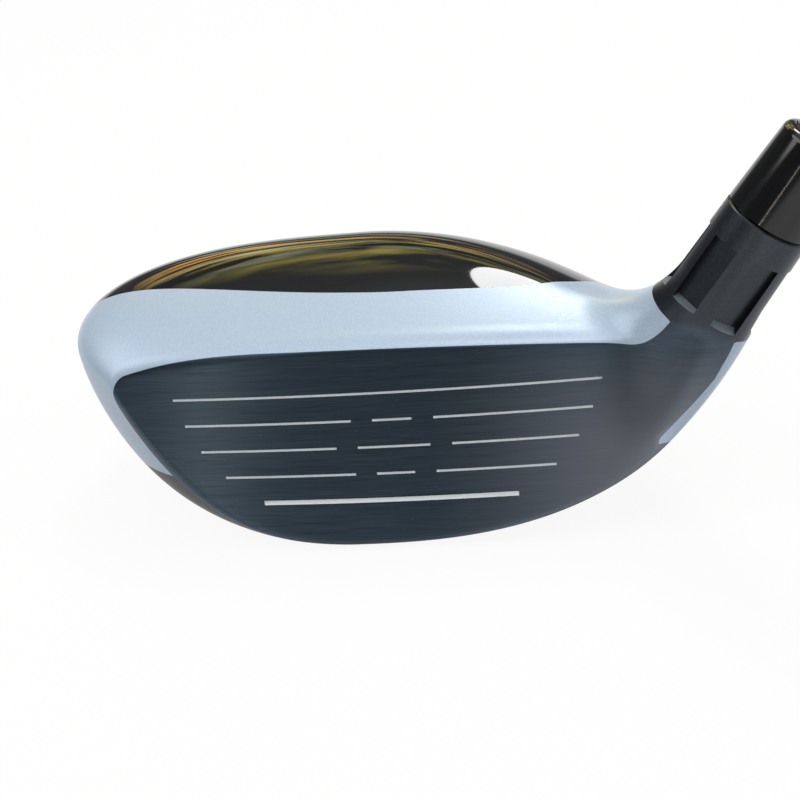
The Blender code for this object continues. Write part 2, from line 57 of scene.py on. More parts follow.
FRONT_LOW_FULL = ((0.912, 0.826), (1.149, 0.646))
EDGE_ROUND, TOE_EDGE_ROUND, TOE_EDGE_X = 0.0006, 0.0013, (-0.018, -0.038)
LEAD_ROUND = 0.0008
REAR_TOE_POWER, FRONT_TOE_POWER, TOP_TOE_POWER, LOW_TOE_POWER = 2.59, 1.56, 2.92, 2.52
REAR_HEEL_POWER, LOW_HEEL_POWER = 3.0, 3.0
ROUND_LIMIT, CROWN_CROWD, SOLE_CROWD, DENSE = 0.4, 1.5, 1.4, 160
TINY, FINE, STEP, MILLIMETRES = 1e-9, 1e-6, 0.0001, 1000
FACE_STEPS, EDGE_STEPS, CROWN_STEPS, SOLE_STEPS = 24, 6, 96, 70
TOE_SLICES, BODY_SLICES, NECK_SLICES, HOSEL_SLICES = 44, 150, 60, 14

SHAFT_DIR = np.array([math.cos(LIE), 0.0, math.sin(LIE)])
SHAFT_FOOT = np.array([0.0295, 0.0013, 0.0])
HOSEL_TOP, HOSEL_BASE = 0.0574, 0.0455
HOSEL_TOP_R, HOSEL_BASE_R = 0.00695, 0.0074
HOSEL_CHAMFER = 0.00025
NECK_LEAN, NECK_LEAVE, NECK_ARRIVE = 0.0060, 0.0045, 0.50
LEAN_SPARE, LEAN_STEPS = 0.002, 260
NECK_LOW_TURN, NECK_HIGH_TURN = -50.0, 45.0
NECK_BULGE, NECK_BULGE_TURN, NECK_BULGE_SPREAD, NECK_BULGE_POWER = 0.0018, 280.0, 50.0, 1.3
JOINT_FROM_X, JOINT_NECK, JOINT_RINGS, JOINT_ROUNDS, JOINT_PULL = 0.0260, 52, 96, 260, 0.5
LIP_HEIGHT, LIP_FROM, LIP_TO = 0.00011, 0.0004, 0.0042
LIP_TOE_X, LIP_HEEL_X, LIP_FADE = -0.044, 0.036, 0.016


def face_y(x, z):
    return LEAD_Y + z * math.tan(LOFT) + x * x / (2 * FACE_BULGE_R)


def swell(tip, values, x, power, heel_power=2.0):
    """A size that closes in on the toe's tip with a round end, and eases from the centre to the heel."""
    centre, heel = values
    if x < CENTRE_X:
        run = min((CENTRE_X - x) / (CENTRE_X - TIP[0]), 1.0)
        return tip + (centre - tip) * math.sqrt(1 - run ** power)
    return centre + (heel - centre) * ((x - CENTRE_X) / (HEEL_X - CENTRE_X)) ** heel_power


def drift(tip, values, x, power=3.0):
    """A size that eases from the centre to the tip and to the heel."""
    centre, heel = values
    if x < CENTRE_X:
        return centre + (tip - centre) * min((CENTRE_X - x) / (CENTRE_X - TIP[0]), 1.0) ** power
    return centre + (heel - centre) * ((x - CENTRE_X) / (HEEL_X - CENTRE_X)) ** 2


def bezier(points, steps):
    a, b, c, d = (np.array(p) for p in points)
    t = np.linspace(0.0, 1.0, steps + 1)[:, None]
    return (1 - t) ** 3 * a + 3 * (1 - t) ** 2 * t * b + 3 * (1 - t) * t ** 2 * c + t ** 3 * d


def quarter(x, upright, level, full):
    """A quarter of a slice, from the end where it stands upright to the end where it lies level."""
    rise = drift(TIP_FULL, full[0], x, 2.0) * (level[1] - upright[1])
    reach = drift(TIP_FULL, full[1], x, 2.0) * (upright[0] - level[0])
    return bezier([upright, (upright[0], upright[1] + rise), (level[0] + reach, level[1]), level], DENSE)


def resample(curve, at):
    t = np.linspace(0.0, 1.0, len(curve))
    return np.column_stack([np.interp(at, t, column) for column in curve.T])


def behind_face(x, curve):
    """The stretch of a curve that lies behind the face; the curve starts at the front."""
    depth = curve[:, 0] - face_y(x, curve[:, 1])
    start = 0.0
    if depth[0] < 0:
        after = int(np.argmax(depth > 0))
        start = (after - depth[after] / (depth[after] - depth[after - 1])) / DENSE
    return resample(curve, np.linspace(start, 1.0, DENSE + 1))


def rear_line(x):
    return swell(TIP[1], REAR_Y, x, REAR_TOE_POWER, REAR_HEEL_POWER)


def front_point(x):
    return swell(TIP[1], FRONT_Y, x, FRONT_TOE_POWER), drift(TIP[2], FRONT_H, x)


def crown_and_sole(x):
    """Two lines of a slice: from the face's top edge over the crown to the rear, and back under the sole."""
    front = front_point(x)
    top = (drift(TIP[1], TOP_Y, x), swell(TIP[2], TOP_H, x, TOP_TOE_POWER))
    rear = (rear_line(x), drift(TIP[2], REAR_H, x))
    low = (drift(TIP[1], LOW_Y, x), swell(TIP[2], LOW_H, x, LOW_TOE_POWER, LOW_HEEL_POWER))
    over = behind_face(x, quarter(x, front, top, FRONT_TOP_FULL))
    under = behind_face(x, quarter(x, front, low, FRONT_LOW_FULL))[::-1]
    crown = np.vstack([over, quarter(x, rear, top, REAR_TOP_FULL)[::-1][1:]])
    sole = np.vstack([quarter(x, rear, low, REAR_LOW_FULL), under[1:]])
    return crown, sole


def arc_lengths(curve):
    return np.concatenate([[0.0], np.cumsum(np.linalg.norm(np.diff(curve, axis=0), axis=1))])


def raised_lip(x, over):
    """The crown's line with a faint raised lip just behind the face's top edge."""
    run = (arc_lengths(over) - LIP_FROM) / (LIP_TO - LIP_FROM)
    fade = np.clip((x - LIP_TOE_X) / LIP_FADE, 0.0, 1.0) * np.clip((LIP_HEEL_X - x) / LIP_FADE, 0.0, 1.0)
    along = np.gradient(over, axis=0)
    square = np.column_stack([-along[:, 1], along[:, 0]])
    square = square / np.maximum(np.linalg.norm(square, axis=1), TINY)[:, None]
    return over + LIP_HEIGHT * fade * np.sin(np.pi * np.clip(run, 0.0, 1.0))[:, None] ** 2 * square


def slice_points(x):
    """A whole slice with rounded edges round the face, and the turn each point takes on the hosel."""
    crown, sole = crown_and_sole(x)
    high, low = crown[0], sole[-1]
    tall = np.linalg.norm(high - low)
    along = (high - low) / max(tall, TINY)
    softer = min(max((x - TOE_EDGE_X[0]) / (TOE_EDGE_X[1] - TOE_EDGE_X[0]), 0.0), 1.0)
    edge = min(EDGE_ROUND + TOE_EDGE_ROUND * softer, ROUND_LIMIT * tall)
    lead = min(LEAD_ROUND, ROUND_LIMIT * tall)
    crown_from = np.interp(edge, arc_lengths(crown), np.linspace(0.0, 1.0, len(crown)))
    sole_to = 1.0 - np.interp(lead, arc_lengths(sole[::-1]), np.linspace(0.0, 1.0, len(sole)))
    crown_t = crown_from + (1 - crown_from) * np.linspace(0.0, 1.0, CROWN_STEPS + 1) ** CROWN_CROWD
    sole_t = sole_to * (1 - np.linspace(1.0, 0.0, SOLE_STEPS + 1) ** SOLE_CROWD)
    over = raised_lip(x, resample(crown, crown_t))
    under = resample(sole, sole_t)
    face = np.linspace(low + lead * along, high - edge * along, FACE_STEPS + 1)
    share = np.linspace(0.0, 1.0, EDGE_STEPS + 1)[1:-1, None]

    def fillet(start, corner, end):
        return (1 - share) ** 2 * start + 2 * share * (1 - share) * corner + share ** 2 * end

    loop = np.vstack([face, fillet(face[-1], high, over[0]), over, under[1:],
                      fillet(under[-1], low, face[0])])
    swing = NECK_HIGH_TURN - NECK_LOW_TURN
    face_turn = np.linspace(NECK_LOW_TURN + swing * lead / max(tall, lead, TINY),
                            NECK_HIGH_TURN - swing * edge / max(tall, edge, TINY), FACE_STEPS + 1)
    over_turn = NECK_HIGH_TURN + (180 - NECK_HIGH_TURN) * crown_t
    under_turn = 180 + (180 + NECK_LOW_TURN) * sole_t
    turn = np.concatenate([
        face_turn, face_turn[-1] + (over_turn[0] - face_turn[-1]) * share[:, 0], over_turn, under_turn[1:],
        under_turn[-1] + (360 + face_turn[0] - under_turn[-1]) * share[:, 0]])
    return np.column_stack([np.full(len(loop), x), loop]), turn


def face_toe():
    """Where the head's front line meets the face, which is the face's toe corner."""
    near, far = TIP[0], CENTRE_X
    while far - near > FINE:
        x = (near + far) / 2
        ahead = front_point(x)[0] < face_y(x, front_point(x)[1])
        near, far = (near, x) if ahead else (x, far)
    return near


lean_x = np.linspace(CENTRE_X - LEAN_SPARE, HEEL_X, LEAN_STEPS)
lean_table = np.array([slice_points(x)[0] for x in lean_x])


def leaning_slice(x):
    """A slice whose crown leans towards the toe as it nears the heel, to make room for the neck."""
    loop, turn = slice_points(x)
    run = max(x - CENTRE_X, 0.0) / (HEEL_X - CENTRE_X)
    if run > 0:
        bow = np.sin(np.pi * np.clip((turn - NECK_HIGH_TURN) / (180 - NECK_HIGH_TURN), 0.0, 1.0))
        back = x - NECK_LEAN * run ** 2 * bow
        for i in np.nonzero(bow > TINY)[0]:
            loop[i] = [np.interp(back[i], lean_x, lean_table[:, i, axis]) for axis in range(3)]
    return loop


def hosel_ring(reach, radius, turn):
    """A ring round the shaft's line; a turn of 0 faces forward and 90 faces the crown."""
    turn = np.radians(turn)[:, None]
    inward = np.array([-SHAFT_DIR[2], 0.0, SHAFT_DIR[0]])
    centre = SHAFT_FOOT + reach * SHAFT_DIR
    return centre + radius * (np.cos(turn) * np.array([0.0, -1.0, 0.0]) + np.sin(turn) * inward)


corner = face_toe()
stops = [TIP[0] + (corner - TIP[0]) * (1 - math.cos(turn))
         for turn in np.linspace(0.0, math.pi / 2, TOE_SLICES + 1)[:-1]]
stops += [corner + (HEEL_X - corner) * (1 - math.cos(turn))
          for turn in np.linspace(0.0, math.pi / 2, BODY_SLICES + 1)]
loops = [leaning_slice(x) for x in stops]
last, last_turn = loops[-1], slice_points(HEEL_X)[1]
leave = last - leaning_slice(HEEL_X - STEP)
leave = leave / np.linalg.norm(leave, axis=1)[:, None]
base_ring = hosel_ring(HOSEL_BASE, HOSEL_BASE_R, last_turn)
outward = np.array([SHAFT_DIR[2], 0.0, -SHAFT_DIR[0]])
neck_run = np.linspace(0.0, 1.0, NECK_SLICES + 1)[:, None]
paths = []
for start, end, out, turn in zip(last, base_ring, leave, last_turn):
    turn_in = NECK_ARRIVE * np.linalg.norm(end - start) * SHAFT_DIR
    path = bezier([start, start + NECK_LEAVE * out, end - turn_in, end], NECK_SLICES)
    aside = (turn - NECK_BULGE_TURN + 180.0) % 360.0 - 180.0
    bulge = NECK_BULGE * math.exp(-(aside / NECK_BULGE_SPREAD) ** 2)
    paths.append(path + bulge * np.sin(math.pi * neck_run ** NECK_BULGE_POWER) * outward)

# The neck's start is eased into the last slices, so that no fold shows where they meet
neck = list(np.array(paths).swapaxes(0, 1)[1:])
first = next(i for i, x in enumerate(stops) if x > JOINT_FROM_X)
even = np.linspace(0.0, 1.0, JOINT_RINGS + 1)
columns = []
for column in np.array(loops[first:] + neck[:JOINT_NECK]).swapaxes(0, 1):
    run = arc_lengths(column)
    columns.append(np.column_stack([np.interp(even * run[-1], run, axis) for axis in column.T]))
joint = np.array(columns).swapaxes(0, 1)
pull = JOINT_PULL * np.sin(np.pi * even[1:-1])[:, None, None] ** 2
for _ in range(JOINT_ROUNDS):
    joint[1:-1] += pull * ((joint[:-2] + joint[2:]) / 2 - joint[1:-1])
loops = loops[:first] + list(joint) + neck[JOINT_NECK:]
for share in np.linspace(0.0, 1.0, HOSEL_SLICES + 1)[1:]:
    reach = HOSEL_BASE + (HOSEL_TOP - HOSEL_CHAMFER - HOSEL_BASE) * share
    loops.append(hosel_ring(reach, HOSEL_BASE_R + (HOSEL_TOP_R - HOSEL_BASE_R) * share, last_turn))
loops.append(hosel_ring(HOSEL_TOP, HOSEL_TOP_R - HOSEL_CHAMFER, last_turn))


def placed(name, data):
    """A new object in the scene."""
    made = bpy.data.objects.new(name, data)
    bpy.context.scene.collection.objects.link(made)
    return made


def select(*pieces):
    """Make these pieces the selected ones, and the first of them the active one."""
    bpy.ops.object.select_all(action="DESELECT")
    for piece in pieces:
        piece.select_set(True)
    bpy.context.view_layer.objects.active = pieces[0]


def mesh_piece(name, verts, faces):
    """A new piece from points and faces, its doubles merged and its faces turned outwards."""
    mesh = bpy.data.meshes.new(name)
    mesh.from_pydata([tuple(v) for v in verts], [], faces)
    piece = placed(name, mesh)
    select(piece)
    bpy.ops.object.mode_set(mode="EDIT")
    bpy.ops.mesh.select_all(action="SELECT")
    bpy.ops.mesh.remove_doubles(threshold=FINE)
    bpy.ops.mesh.normals_make_consistent(inside=False)
    bpy.ops.object.mode_set(mode="OBJECT")
    return piece


def lofted(name, rings, wrap=False):
    """A closed piece from rings of points; wrap joins the last ring to the first, else fans fill both ends."""
    count, total = len(rings[0]), len(rings)
    ends = [] if wrap else [rings[0].mean(axis=0), rings[-1].mean(axis=0)]
    verts = np.vstack(list(rings) + ends)
    faces = []
    for r in range(total if wrap else total - 1):
        s = (r + 1) % total
        for i in range(count):
            j = (i + 1) % count
            faces.append((r * count + i, r * count + j, s * count + j, s * count + i))
    if not wrap:
        for i in range(count):
            j = (i + 1) % count
            faces.append((j, i, len(verts) - 2))
            faces.append(((total - 1) * count + i, (total - 1) * count + j, len(verts) - 1))
    return mesh_piece(name, verts, faces)


def combine(piece, other, operation, keep=False, solver="EXACT"):
    """Cut a piece by another, or keep what they share; the other one is used up unless kept."""
    modifier = piece.modifiers.new("combine", "BOOLEAN")
    modifier.operation, modifier.solver = operation, solver
    modifier.object = other
    bpy.context.view_layer.objects.active = piece
    bpy.ops.object.modifier_apply(modifier=modifier.name)
    if not keep:
        bpy.data.objects.remove(other, do_unlink=True)


def copy_of(piece, name):
    return placed(name, piece.data.copy())


def joined(pieces):
    """Several pieces made one object."""
    select(*pieces)
    bpy.ops.object.join()
    return pieces[0]


def shrink(piece, depth):
    """Move the whole surface of a piece inwards."""
    points = [v.co - v.normal * depth for v in piece.data.vertices]
    for vert, point in zip(piece.data.vertices, points):
        vert.co = point


for loop in loops:
    loop[:, 2] = np.maximum(loop[:, 2], 0.0)
head = lofted("head_shell", loops)
skin = copy_of(head, "skin")

# Flutes and bore: six shallow flat pockets are milled round the hosel, each with a sloping lower end, and
# the hosel is bored from above for the shaft's tip.
FLUTES, FLUTE_TURN = 6, -13.0
FLUTE_FLOOR = HOSEL_TOP_R - 0.0010
FLUTE_WIDTH, FLUTE_LOW, FLUTE_HIGH, FLUTE_RAMP = 0.0046, 0.0416, 0.0526, 0.55
BORE_R, BORE_DEPTH, BORE_SIDES, OVERCUT = 0.00515, 0.0320, 72, 0.002
SHAFT_PLACE = Matrix.Translation(SHAFT_FOOT) @ Matrix.Rotation(math.pi / 2 - LIE, 4, "Y")
flute_blocks = []
for number in range(FLUTES):
    bpy.ops.mesh.primitive_cube_add(size=1.0, location=(0.0, 0.0, 0.0))
    block = bpy.context.object
    for vert in block.data.vertices:
        outer = vert.co.x > 0
        low = FLUTE_LOW - (FLUTE_RAMP * HOSEL_BASE_R if outer else 0.0)
        vert.co = (FLUTE_FLOOR + (HOSEL_BASE_R if outer else 0.0), vert.co.y * FLUTE_WIDTH,
                   FLUTE_HIGH if vert.co.z > 0 else low)
    turn = Matrix.Rotation(math.radians(-90 - FLUTE_TURN - number * 360 / FLUTES), 4, "Z")
    block.data.transform(SHAFT_PLACE @ turn)
    flute_blocks.append(block)
combine(head, joined(flute_blocks), "DIFFERENCE")
bpy.ops.mesh.primitive_cylinder_add(vertices=BORE_SIDES, radius=BORE_R, depth=BORE_DEPTH + OVERCUT)
bore = bpy.context.object
bore.data.transform(SHAFT_PLACE @ Matrix.Translation((0.0, 0.0, HOSEL_TOP + (OVERCUT - BORE_DEPTH) / 2)))
combine(head, bore, "DIFFERENCE")

# Slot filler. A strip of soft black polymer pressed into a slot that is milled across the sole behind the
# face; it sits a little below the sole so that the ground doesn't wear it.
SLOT_Y, SLOT_LENGTH, SLOT_WIDTH = -0.0050, 0.0480, 0.0034
FILLER_SEAT, FILLER_SUNK, FILLER_THICK = 0.0003, 0.00015, 0.0030
SLOT_TURNS = 24


def stadium(name, length, width, low, high):
    """A flat bar with round ends that stands across the sole, between two heights."""
    turns = np.linspace(-math.pi / 2, math.pi / 2, SLOT_TURNS + 1)
    reach, round_r = (length - width) / 2, width / 2
    right = [(reach + round_r * math.cos(turn), SLOT_Y + round_r * math.sin(turn)) for turn in turns]
    outline = np.array(right + [(-x, 2 * SLOT_Y - y) for x, y in right])
    return lofted(name, [np.column_stack([outline, np.full(len(outline), z)]) for z in (low, high)])


filler = copy_of(skin, "slot_filler_strip")
shrink(filler, FILLER_SUNK)
combine(filler, stadium("filler_outline", SLOT_LENGTH - 2 * FILLER_SEAT, SLOT_WIDTH - 2 * FILLER_SEAT,
                        -OVERCUT, FILLER_THICK), "INTERSECT")
combine(head, stadium("slot", SLOT_LENGTH, SLOT_WIDTH, -OVERCUT, FILLER_THICK + FILLER_SEAT), "DIFFERENCE")

# Weight screw. A turned steel plug that trims the head's balance, screwed into a blind hole at the rear of
# the sole with a hexagon key; its rim is chamfered and its head lies just below the sole.
WEIGHT_X, WEIGHT_Y, WEIGHT_R = -0.0080, 0.0230, 0.0060
WEIGHT_SUNK, WEIGHT_LENGTH, WEIGHT_CHAMFER, WEIGHT_SEAT = 0.0008, 0.0060, 0.0005, 0.0003
WEIGHT_DISH, WEIGHT_DISH_R, HEX_ACROSS, HEX_DEPTH = 0.0004, 0.0042, 0.0040, 0.0030
ROUND = 96


def sole_height(x, y):
    sole = crown_and_sole(x)[1][::-1]
    return float(np.interp(y, sole[:, 0], sole[:, 1]))


def turned(name, profile, place):
    """A piece turned about its own axis from (radius, height) steps that run from the axis to the axis."""
    turns = np.linspace(0.0, 2 * math.pi, ROUND + 1)[:-1]
    rings = [np.column_stack([r * np.cos(turns), r * np.sin(turns), np.full(ROUND, h)]) for r, h in profile]
    piece = lofted(name, rings)
    piece.data.transform(place)
    return piece


seat_rise = sole_height(WEIGHT_X, WEIGHT_Y + WEIGHT_R) - sole_height(WEIGHT_X, WEIGHT_Y - WEIGHT_R)
WEIGHT_PLACE = (Matrix.Translation((WEIGHT_X, WEIGHT_Y, sole_height(WEIGHT_X, WEIGHT_Y)))
                @ Matrix.Rotation(math.atan(seat_rise / (2 * WEIGHT_R)), 4, "X"))
hole_r, hole_top = WEIGHT_R + WEIGHT_SEAT, WEIGHT_SUNK + WEIGHT_LENGTH + WEIGHT_SEAT
hole = turned("weight_hole", [(hole_r + WEIGHT_CHAMFER + OVERCUT, -OVERCUT), (hole_r, WEIGHT_CHAMFER),
                              (hole_r, hole_top)], WEIGHT_PLACE)
combine(head, hole, "DIFFERENCE")
screw_low, screw_top = WEIGHT_SUNK, WEIGHT_SUNK + WEIGHT_LENGTH
screw = turned("sole_weight_screw", [
    (WEIGHT_DISH_R - WEIGHT_DISH, screw_low + WEIGHT_DISH), (WEIGHT_DISH_R, screw_low),
    (WEIGHT_R - WEIGHT_CHAMFER, screw_low), (WEIGHT_R, screw_low + WEIGHT_CHAMFER),
    (WEIGHT_R, screw_top - WEIGHT_CHAMFER), (WEIGHT_R - WEIGHT_CHAMFER, screw_top)], WEIGHT_PLACE)
bpy.ops.mesh.primitive_cylinder_add(vertices=6, radius=HEX_ACROSS / math.sqrt(3), depth=2 * HEX_DEPTH)
key = bpy.context.object
key.data.transform(WEIGHT_PLACE @ Matrix.Translation((0.0, 0.0, screw_low)))
combine(screw, key, "DIFFERENCE")

# Face plate. A forged steel plate welded into the front of the casting and brushed over with it, so
# that no seam shows; five rows of score lines are milled into it and filled with paint.
PLATE_THICK, PLATE_RIM = 0.0026, 0.0015
PLATE_TOE_X, PLATE_HEEL_X, PLATE_STEPS = -0.0455, 0.0365, 120
SCORE_DEPTH, SCORE_X, SCORE_LOW_H, SCORE_PITCH, SCORE_BREAK = 0.00014, -0.0015, 0.0081, 0.0042, 0.0036
SCORE_WIDTH = (0.00070, 0.00036, 0.00036, 0.00036, 0.00036)
SCORE_HALF = (0.0216, 0.0280, 0.0319, 0.0343, 0.0360)
SCORE_BAR_HALF = (None, 0.0032, 0.0061, 0.0033, None)
SCORE_DOT, SCORE_STEPS, SCORE_SKIN, SCORE_REACH = 0.0004, 12, 0.00004, 1.3
PLATE_PROUD = 0.001


def face_slab(name, low, high, stops, front, back):
    """A slab that follows the bowed face between two edges, from one depth behind it to another."""
    rings = []
    for x in stops:
        ring = []
        for depth, z in ((front, low(x)), (front, high(x)), (back, high(x)), (back, low(x))):
            ring.append((x, face_y(x, z) + depth * math.cos(LOFT), z - depth * math.sin(LOFT)))
        rings.append(np.array(ring))
    return lofted(name, rings)


def face_edge(index, margin):
    """The face's low (0) or high (1) edge as a height over x, moved square to itself."""
    def height(x):
        def plain(at):
            crown, sole = crown_and_sole(at)
            return (sole[-1], crown[0])[index][1]
        slope = (plain(x + STEP) - plain(x)) / STEP
        return plain(x) + margin * math.sqrt(1 + slope * slope)
    return height


plate_cutter = face_slab("plate_cutter", face_edge(0, PLATE_RIM), face_edge(1, -PLATE_RIM),
                         np.linspace(PLATE_TOE_X, PLATE_HEEL_X, PLATE_STEPS + 1), -PLATE_PROUD, PLATE_THICK)
plate = copy_of(head, "face_plate_brushed")
combine(plate, plate_cutter, "INTERSECT", keep=True)
combine(head, plate_cutter, "DIFFERENCE")
score_starts, grooves = [], []
for row, (half, bar, width) in enumerate(zip(SCORE_HALF, SCORE_BAR_HALF, SCORE_WIDTH)):
    middle = SCORE_LOW_H + row * SCORE_PITCH
    spans = [(SCORE_X - half, SCORE_X + half)]
    if bar:
        spans = [(SCORE_X - half, -bar - SCORE_BREAK), (-bar, bar), (bar + SCORE_BREAK, SCORE_X + half)]
    for start, end in spans:
        score_starts.append((start, middle))
        grooves.append(face_slab("groove", lambda x: middle - width / 2, lambda x: middle + width / 2,
                                 [start, *np.linspace(start + SCORE_DOT, end, SCORE_STEPS)],
                                 -SCORE_DEPTH, SCORE_DEPTH))
combine(plate, joined(grooves), "DIFFERENCE")

# Crown panel. A thin pressed plate that closes the hollow head from above, filled and lacquered gloss
# black together with the rear of the casting.
PANEL_THICK, PANEL_RIM = 0.0012, 0.0060
PANEL_LOW, PANEL_HIGH = 0.0214, 0.0417
PANEL_TOE_X, PANEL_HEEL_X, PANEL_FRONT_Y = -0.0490, 0.0300, 0.0112
PANEL_TOE_SWEEP, PANEL_TOE_POWER = 0.0068, 1.5
PANEL_HEEL_SWEEP, PANEL_HEEL_POWER = 0.0030, 6.0
PANEL_END_DRAW, PANEL_END_POWER, PANEL_STEPS = 0.80, 8.0, 130


def crown_line(x):
    """How far back the black of the crown starts, seen from above."""
    if x < 0:
        return PANEL_FRONT_Y + PANEL_TOE_SWEEP * (x / PANEL_TOE_X) ** PANEL_TOE_POWER
    return PANEL_FRONT_Y + PANEL_HEEL_SWEEP * (x / PANEL_HEEL_X) ** PANEL_HEEL_POWER


rings = []
panel_middle, panel_half = (PANEL_TOE_X + PANEL_HEEL_X) / 2, (PANEL_HEEL_X - PANEL_TOE_X) / 2
for x in np.linspace(PANEL_TOE_X, PANEL_HEEL_X, PANEL_STEPS + 1):
    front = crown_line(x)
    draw = math.sqrt(1 - PANEL_END_DRAW * abs((x - panel_middle) / panel_half) ** PANEL_END_POWER)
    back = front + (rear_line(x) - PANEL_RIM - front) * draw
    rings.append(np.array([(x, front, PANEL_LOW), (x, back, PANEL_LOW), (x, back, PANEL_HIGH),
                           (x, front, PANEL_HIGH)]))
panel_cutter = lofted("panel_cutter", rings)
panel = copy_of(head, "crown_panel_gloss")
shrink(skin, PANEL_THICK)
combine(panel_cutter, skin, "DIFFERENCE", solver="MANIFOLD")
combine(panel, panel_cutter, "INTERSECT", keep=True)
combine(head, panel_cutter, "DIFFERENCE")

# Paint lines on the head, as signed distances in millimetres that the paint reads: silver in front of the
# crown's line, above the sole's line and outside the face, and satin black above the collar's line.
COLLAR_REACH, COLLAR_TILT = 0.03793, 0.135
COLLAR_FRONT_REACH, COLLAR_FRONT_TURN, COLLAR_SIDE_TURN = 0.0399, 18.0, 46.0
HEEL_FACE_X, HEEL_FACE_H, HEEL_FACE_TURN, HEEL_FACE_WIDE = 0.0240, 0.0160, 0.30, 0.002
SOLE_LINE_X, SOLE_LINE_H, SOLE_LINE_FALL, SOLE_LINE_Y = (-0.0412, 0.0425), (0.0124, 0.0144), 0.16, -0.0090
COLLAR_BACK_TURN = -120.0
FACE_CORNER_ROUND, FACE_WRAP = 0.0048, 0.0013
FACE_TOP_H, FACE_TOP_X, FACE_TOP_MIN, FACE_RISE_X = 0.03165, -0.014, 0.0296, 0.0385
FACE_TOP_TOE, FACE_TOP_HEEL, FACE_TOP_RISE = (0.0034, 0.0343, 3.2), (0.00155, 0.048, 2.0), (0.0050, 0.0069, 2.2)
FACE_LOW_H, FACE_LOW_TOE_X, FACE_LOW_HEEL_X = 0.0013, 0.0007, 0.0019
FACE_LOW_TOE, FACE_LOW_HEEL = (0.0253, 0.0502, 3.8), (0.0038, 0.0257, 2.4)
STRIP_H = (0.0, 0.0145, 0.0175, 0.0211, 0.0246, 0.0290, 0.040)
STRIP_X = (0.0290, 0.0423, 0.0453, 0.0488, 0.05185, 0.05405, 0.0580)
STRIP_LOW_H, STRIP_LEAN = 0.0144, 0.75


def curving(way, curve):
    """How far an edge has left its straight line after some way, by a curve's size, run and power."""
    size, run, power = curve
    return size * np.clip(way / run, 0, None) ** power


def face_top(x):
    """The top edge of the brushed face, which rises along the neck to the collar."""
    edge = FACE_TOP_H - curving(FACE_TOP_X - x, FACE_TOP_TOE) - curving(x - FACE_TOP_X, FACE_TOP_HEEL)
    edge = np.where(x > 0, np.maximum(edge, FACE_TOP_MIN), edge)
    return edge + curving(x - FACE_RISE_X, FACE_TOP_RISE)


def face_bottom(x):
    return FACE_LOW_H + curving(FACE_LOW_TOE_X - x, FACE_LOW_TOE) + curving(x - FACE_LOW_HEEL_X, FACE_LOW_HEEL)


def squared(edge, x, z):
    """How far points lie above an edge, measured square to it."""
    return (z - edge(x)) / np.sqrt(1 + ((edge(x + STEP) - edge(x)) / STEP) ** 2)


def paint_lines(piece):
    """Write the paint lines onto a piece of the head."""
    co = np.array([v.co for v in piece.data.vertices])
    x, y, z = co.T
    reach = (co - SHAFT_FOOT) @ SHAFT_DIR
    turn = np.degrees(np.arctan2(-(co - SHAFT_FOOT) @ outward, SHAFT_FOOT[1] - y))
    side = np.clip((turn - COLLAR_FRONT_TURN) / (COLLAR_SIDE_TURN - COLLAR_FRONT_TURN), 0.0, 1.0)
    front = COLLAR_FRONT_REACH + (COLLAR_REACH + COLLAR_TILT * y - COLLAR_FRONT_REACH) * side
    collar = reach - np.where(turn > COLLAR_BACK_TURN, front, COLLAR_REACH + COLLAR_TILT * y)
    depth = np.where(x > HEEL_FACE_X, 0.0, y - face_y(x, z))
    top, low = -squared(face_top, x, z), squared(face_bottom, x, z)
    down = np.array([v.normal.z for v in piece.data.vertices])
    turned_under = np.where(z < HEEL_FACE_H, (down + HEEL_FACE_TURN) * HEEL_FACE_WIDE, HEEL_FACE_H)
    low = np.where(x > HEEL_FACE_X, turned_under, low)
    heel = np.maximum((np.interp(z, STRIP_H, STRIP_X) - x) * STRIP_LEAN, STRIP_LOW_H - z)
    over, under = np.minimum(top - FACE_CORNER_ROUND, 0), np.minimum(low - FACE_CORNER_ROUND, 0)
    corner = FACE_CORNER_ROUND - np.sqrt(over ** 2 + under ** 2)
    at_toe = (top < FACE_CORNER_ROUND) & (low < FACE_CORNER_ROUND) & (x < CENTRE_X)
    face = np.minimum.reduce([np.where(at_toe, corner, np.minimum(top, low)), heel, FACE_WRAP - depth])
    line = np.array([crown_line(value) for value in x])
    fall = np.where(x < CENTRE_X, SOLE_LINE_FALL * (y - SOLE_LINE_Y), 0.0)
    sole = z + fall - np.interp(x, SOLE_LINE_X, SOLE_LINE_H)
    silver = np.minimum.reduce([line - y, sole, -face, -collar])
    for name, values in (("silver_line", silver), ("face_line", face), ("collar_line", collar),
                         ("sole_line", sole)):
        layer = piece.data.attributes.new(name, "FLOAT", "POINT")
        layer.data.foreach_set("value", (values * MILLIMETRES).astype(np.float32))


paint_lines(head)

# Head finishes: pearl paint, brushed metal, gloss lacquer and satin black, each held to its own paint line.
MASK_SOFT, SOLE_SOFT, COLLAR_SOFT = 0.04, 0.3, 1.5
PEARL = (0.49, 0.607, 0.755)
BRUSH_DARK, BRUSH_PALE = (0.027, 0.043, 0.062), (0.072, 0.100, 0.132)
# The heel colour, its run along x and its fade up the height paint a sheen onto the brushed metal: a painted
# reflection that pales it towards the heel and low down
BRUSH_SHEEN_PAINTED, BRUSH_SHEEN_PAINTED_X, BRUSH_SHEEN_PAINTED_H = (0.195, 0.198, 0.220), (0.006, 0.048), (0.016, 0.030)
BRUSH_MARK, BRUSH_NECK_X, BRUSH_LAY, BRUSH_METAL = (0.16, 0.17, 0.18), (0.014, 0.034), 0.8, 0.9
LACQUER, LACQUER_PALE = (0.007, 0.007, 0.008), (0.014, 0.014, 0.016)
SATIN, SATIN_PALE, SATIN_GRAIN = (0.036, 0.041, 0.048), (0.0576, 0.0656, 0.0768), 2400.0
FINE_BUMP, WELD = (0.15, 0.00002), 0.00001


